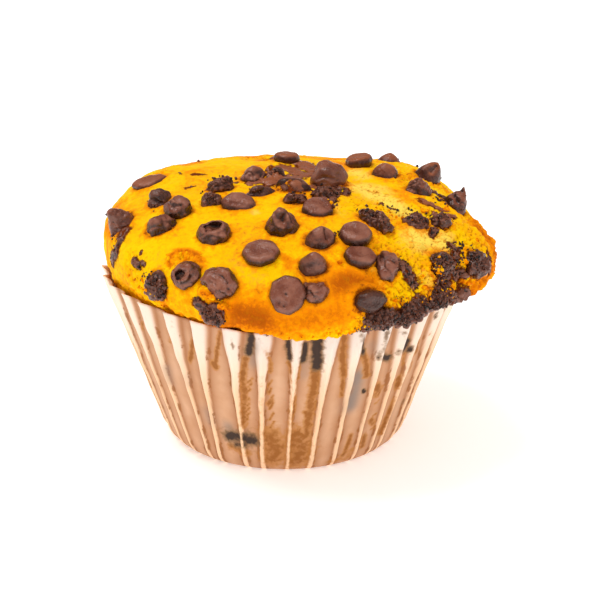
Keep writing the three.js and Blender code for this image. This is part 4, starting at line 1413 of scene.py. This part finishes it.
def grease_strokes():
    """Where each short stroke starts and how it runs, in pixels."""
    draw = random.Random(8)
    for (x0, y0), (x1, y1), (dx, dy), count in GREASE_STROKES:
        for i in range(count):
            share = (i + draw.uniform(-0.3, 0.3)) / (count - 1)
            yield x0 + (x1 - x0) * share, y0 + (y1 - y0) * share, dx * draw.uniform(0.6, 1.1), dy


# Floor and lights

# The white table: half its width in metres and how strongly it glows
FLOOR_SIZE = 3
FLOOR_GLOW = 0.36

# The brightness of the studio at the horizon and overhead, and the share of it that gloss shows
HORIZON_LIGHT = 1.05
OVERHEAD_LIGHT = 0.66
SHARE_IN_GLOSS = 0.3

# The softboxes: name, direction, strength, angle that they fill, colour
SOFTBOXES = (
    ("key_softbox", (-0.35, 0.05, 0.9), 1.3, 26, (1, 0.99, 0.97)),
    ("right_fill", (0.6, -0.7, 0.5), 0.45, 80, (1, 0.98, 0.96)),
)


def make_floor():
    """A white light table: it glows a little, so that only a faint shadow is left on it."""
    bm = bmesh.new()
    bmesh.ops.create_grid(bm, x_segments=8, y_segments=8, size=FLOOR_SIZE)
    floor = new_object("floor", from_bmesh("floor", bm))
    material, shader, _ = new_material("white_table")
    finish_shader(shader, {}, {
        "Base Color": linear("#FFFEFD"),
        "Roughness": 0.8,
        "Specular IOR Level": 0.1,
        "Emission Color": linear("#FFFDFA"),
        "Emission Strength": FLOOR_GLOW,
    })
    floor.data.materials.append(material)


def make_sun(name, direction, power, angle, colour):
    """A distant softbox: even light from one side whose shadows are soft."""
    data = bpy.data.lights.new(name, "SUN")
    data.energy = power
    data.angle = math.radians(angle)
    data.color = colour
    light = bpy.data.objects.new(name, data)
    bpy.context.scene.collection.objects.link(light)
    light.rotation_euler = Vector(direction).to_track_quat("Z", "Y").to_euler()


def light_scene():
    """A white studio: bright near the horizon and softer overhead, with a large light above on the left and
    a weak broad one from the front on the right. Its walls show only faintly in gloss."""
    world = bpy.data.worlds.new("studio")
    world.use_nodes = True
    tree = world.node_tree
    way = add_node(tree, "TexCoord", output="Generated")
    up = add_node(tree, "SeparateXYZ", None, (way,), "Z")
    dome = add_node(tree, "MapRange", RANGE, (up, 0.05, 0.5, HORIZON_LIGHT, OVERHEAD_LIGHT))
    glossy = add_node(tree, "LightPath", output="Is Glossy Ray")
    dimmed = add_node(tree, "MapRange", None, (glossy, 0, 1, 1, SHARE_IN_GLOSS))
    bright = add_node(tree, "Math", TIMES, (dome, dimmed))
    background = tree.nodes["Background"]
    background.inputs["Color"].default_value = (1, 1, 1, 1)
    tree.links.new(bright, background.inputs["Strength"])
    bpy.context.scene.world = world
    for softbox in SOFTBOXES:
        make_sun(*softbox)
    bpy.context.scene.view_settings.view_transform = "Standard"
    bpy.context.scene.view_settings.look = "None"


place_camera()
light_scene()
make_floor()
crumb_finish = crumb_material()
chocolate = chocolate_material()
crumb, skin = make_crumb(crumb_finish, chocolate)
chips = [make_chip(name, skin, chocolate) for name in sorted(n for n in nodes if "chip" in n)]
surface = tree_of(crumb.data, *[chip.data for chip in chips])
chocolate_spots = strewn(surface, CHOCOLATE_BITS, 3) + strewn_behind(surface, all_chips(), BACK_BITS, 4)
make_bits("chocolate_crumbs", chocolate_spots, 5, chocolate, "chocolate")
make_bits("crust_crumbs", strewn(surface, CRUMB_BITS, 6), 7, crumb_finish, "crumb")
make_lumps(surface, crumb_finish)
make_case(paper_material())
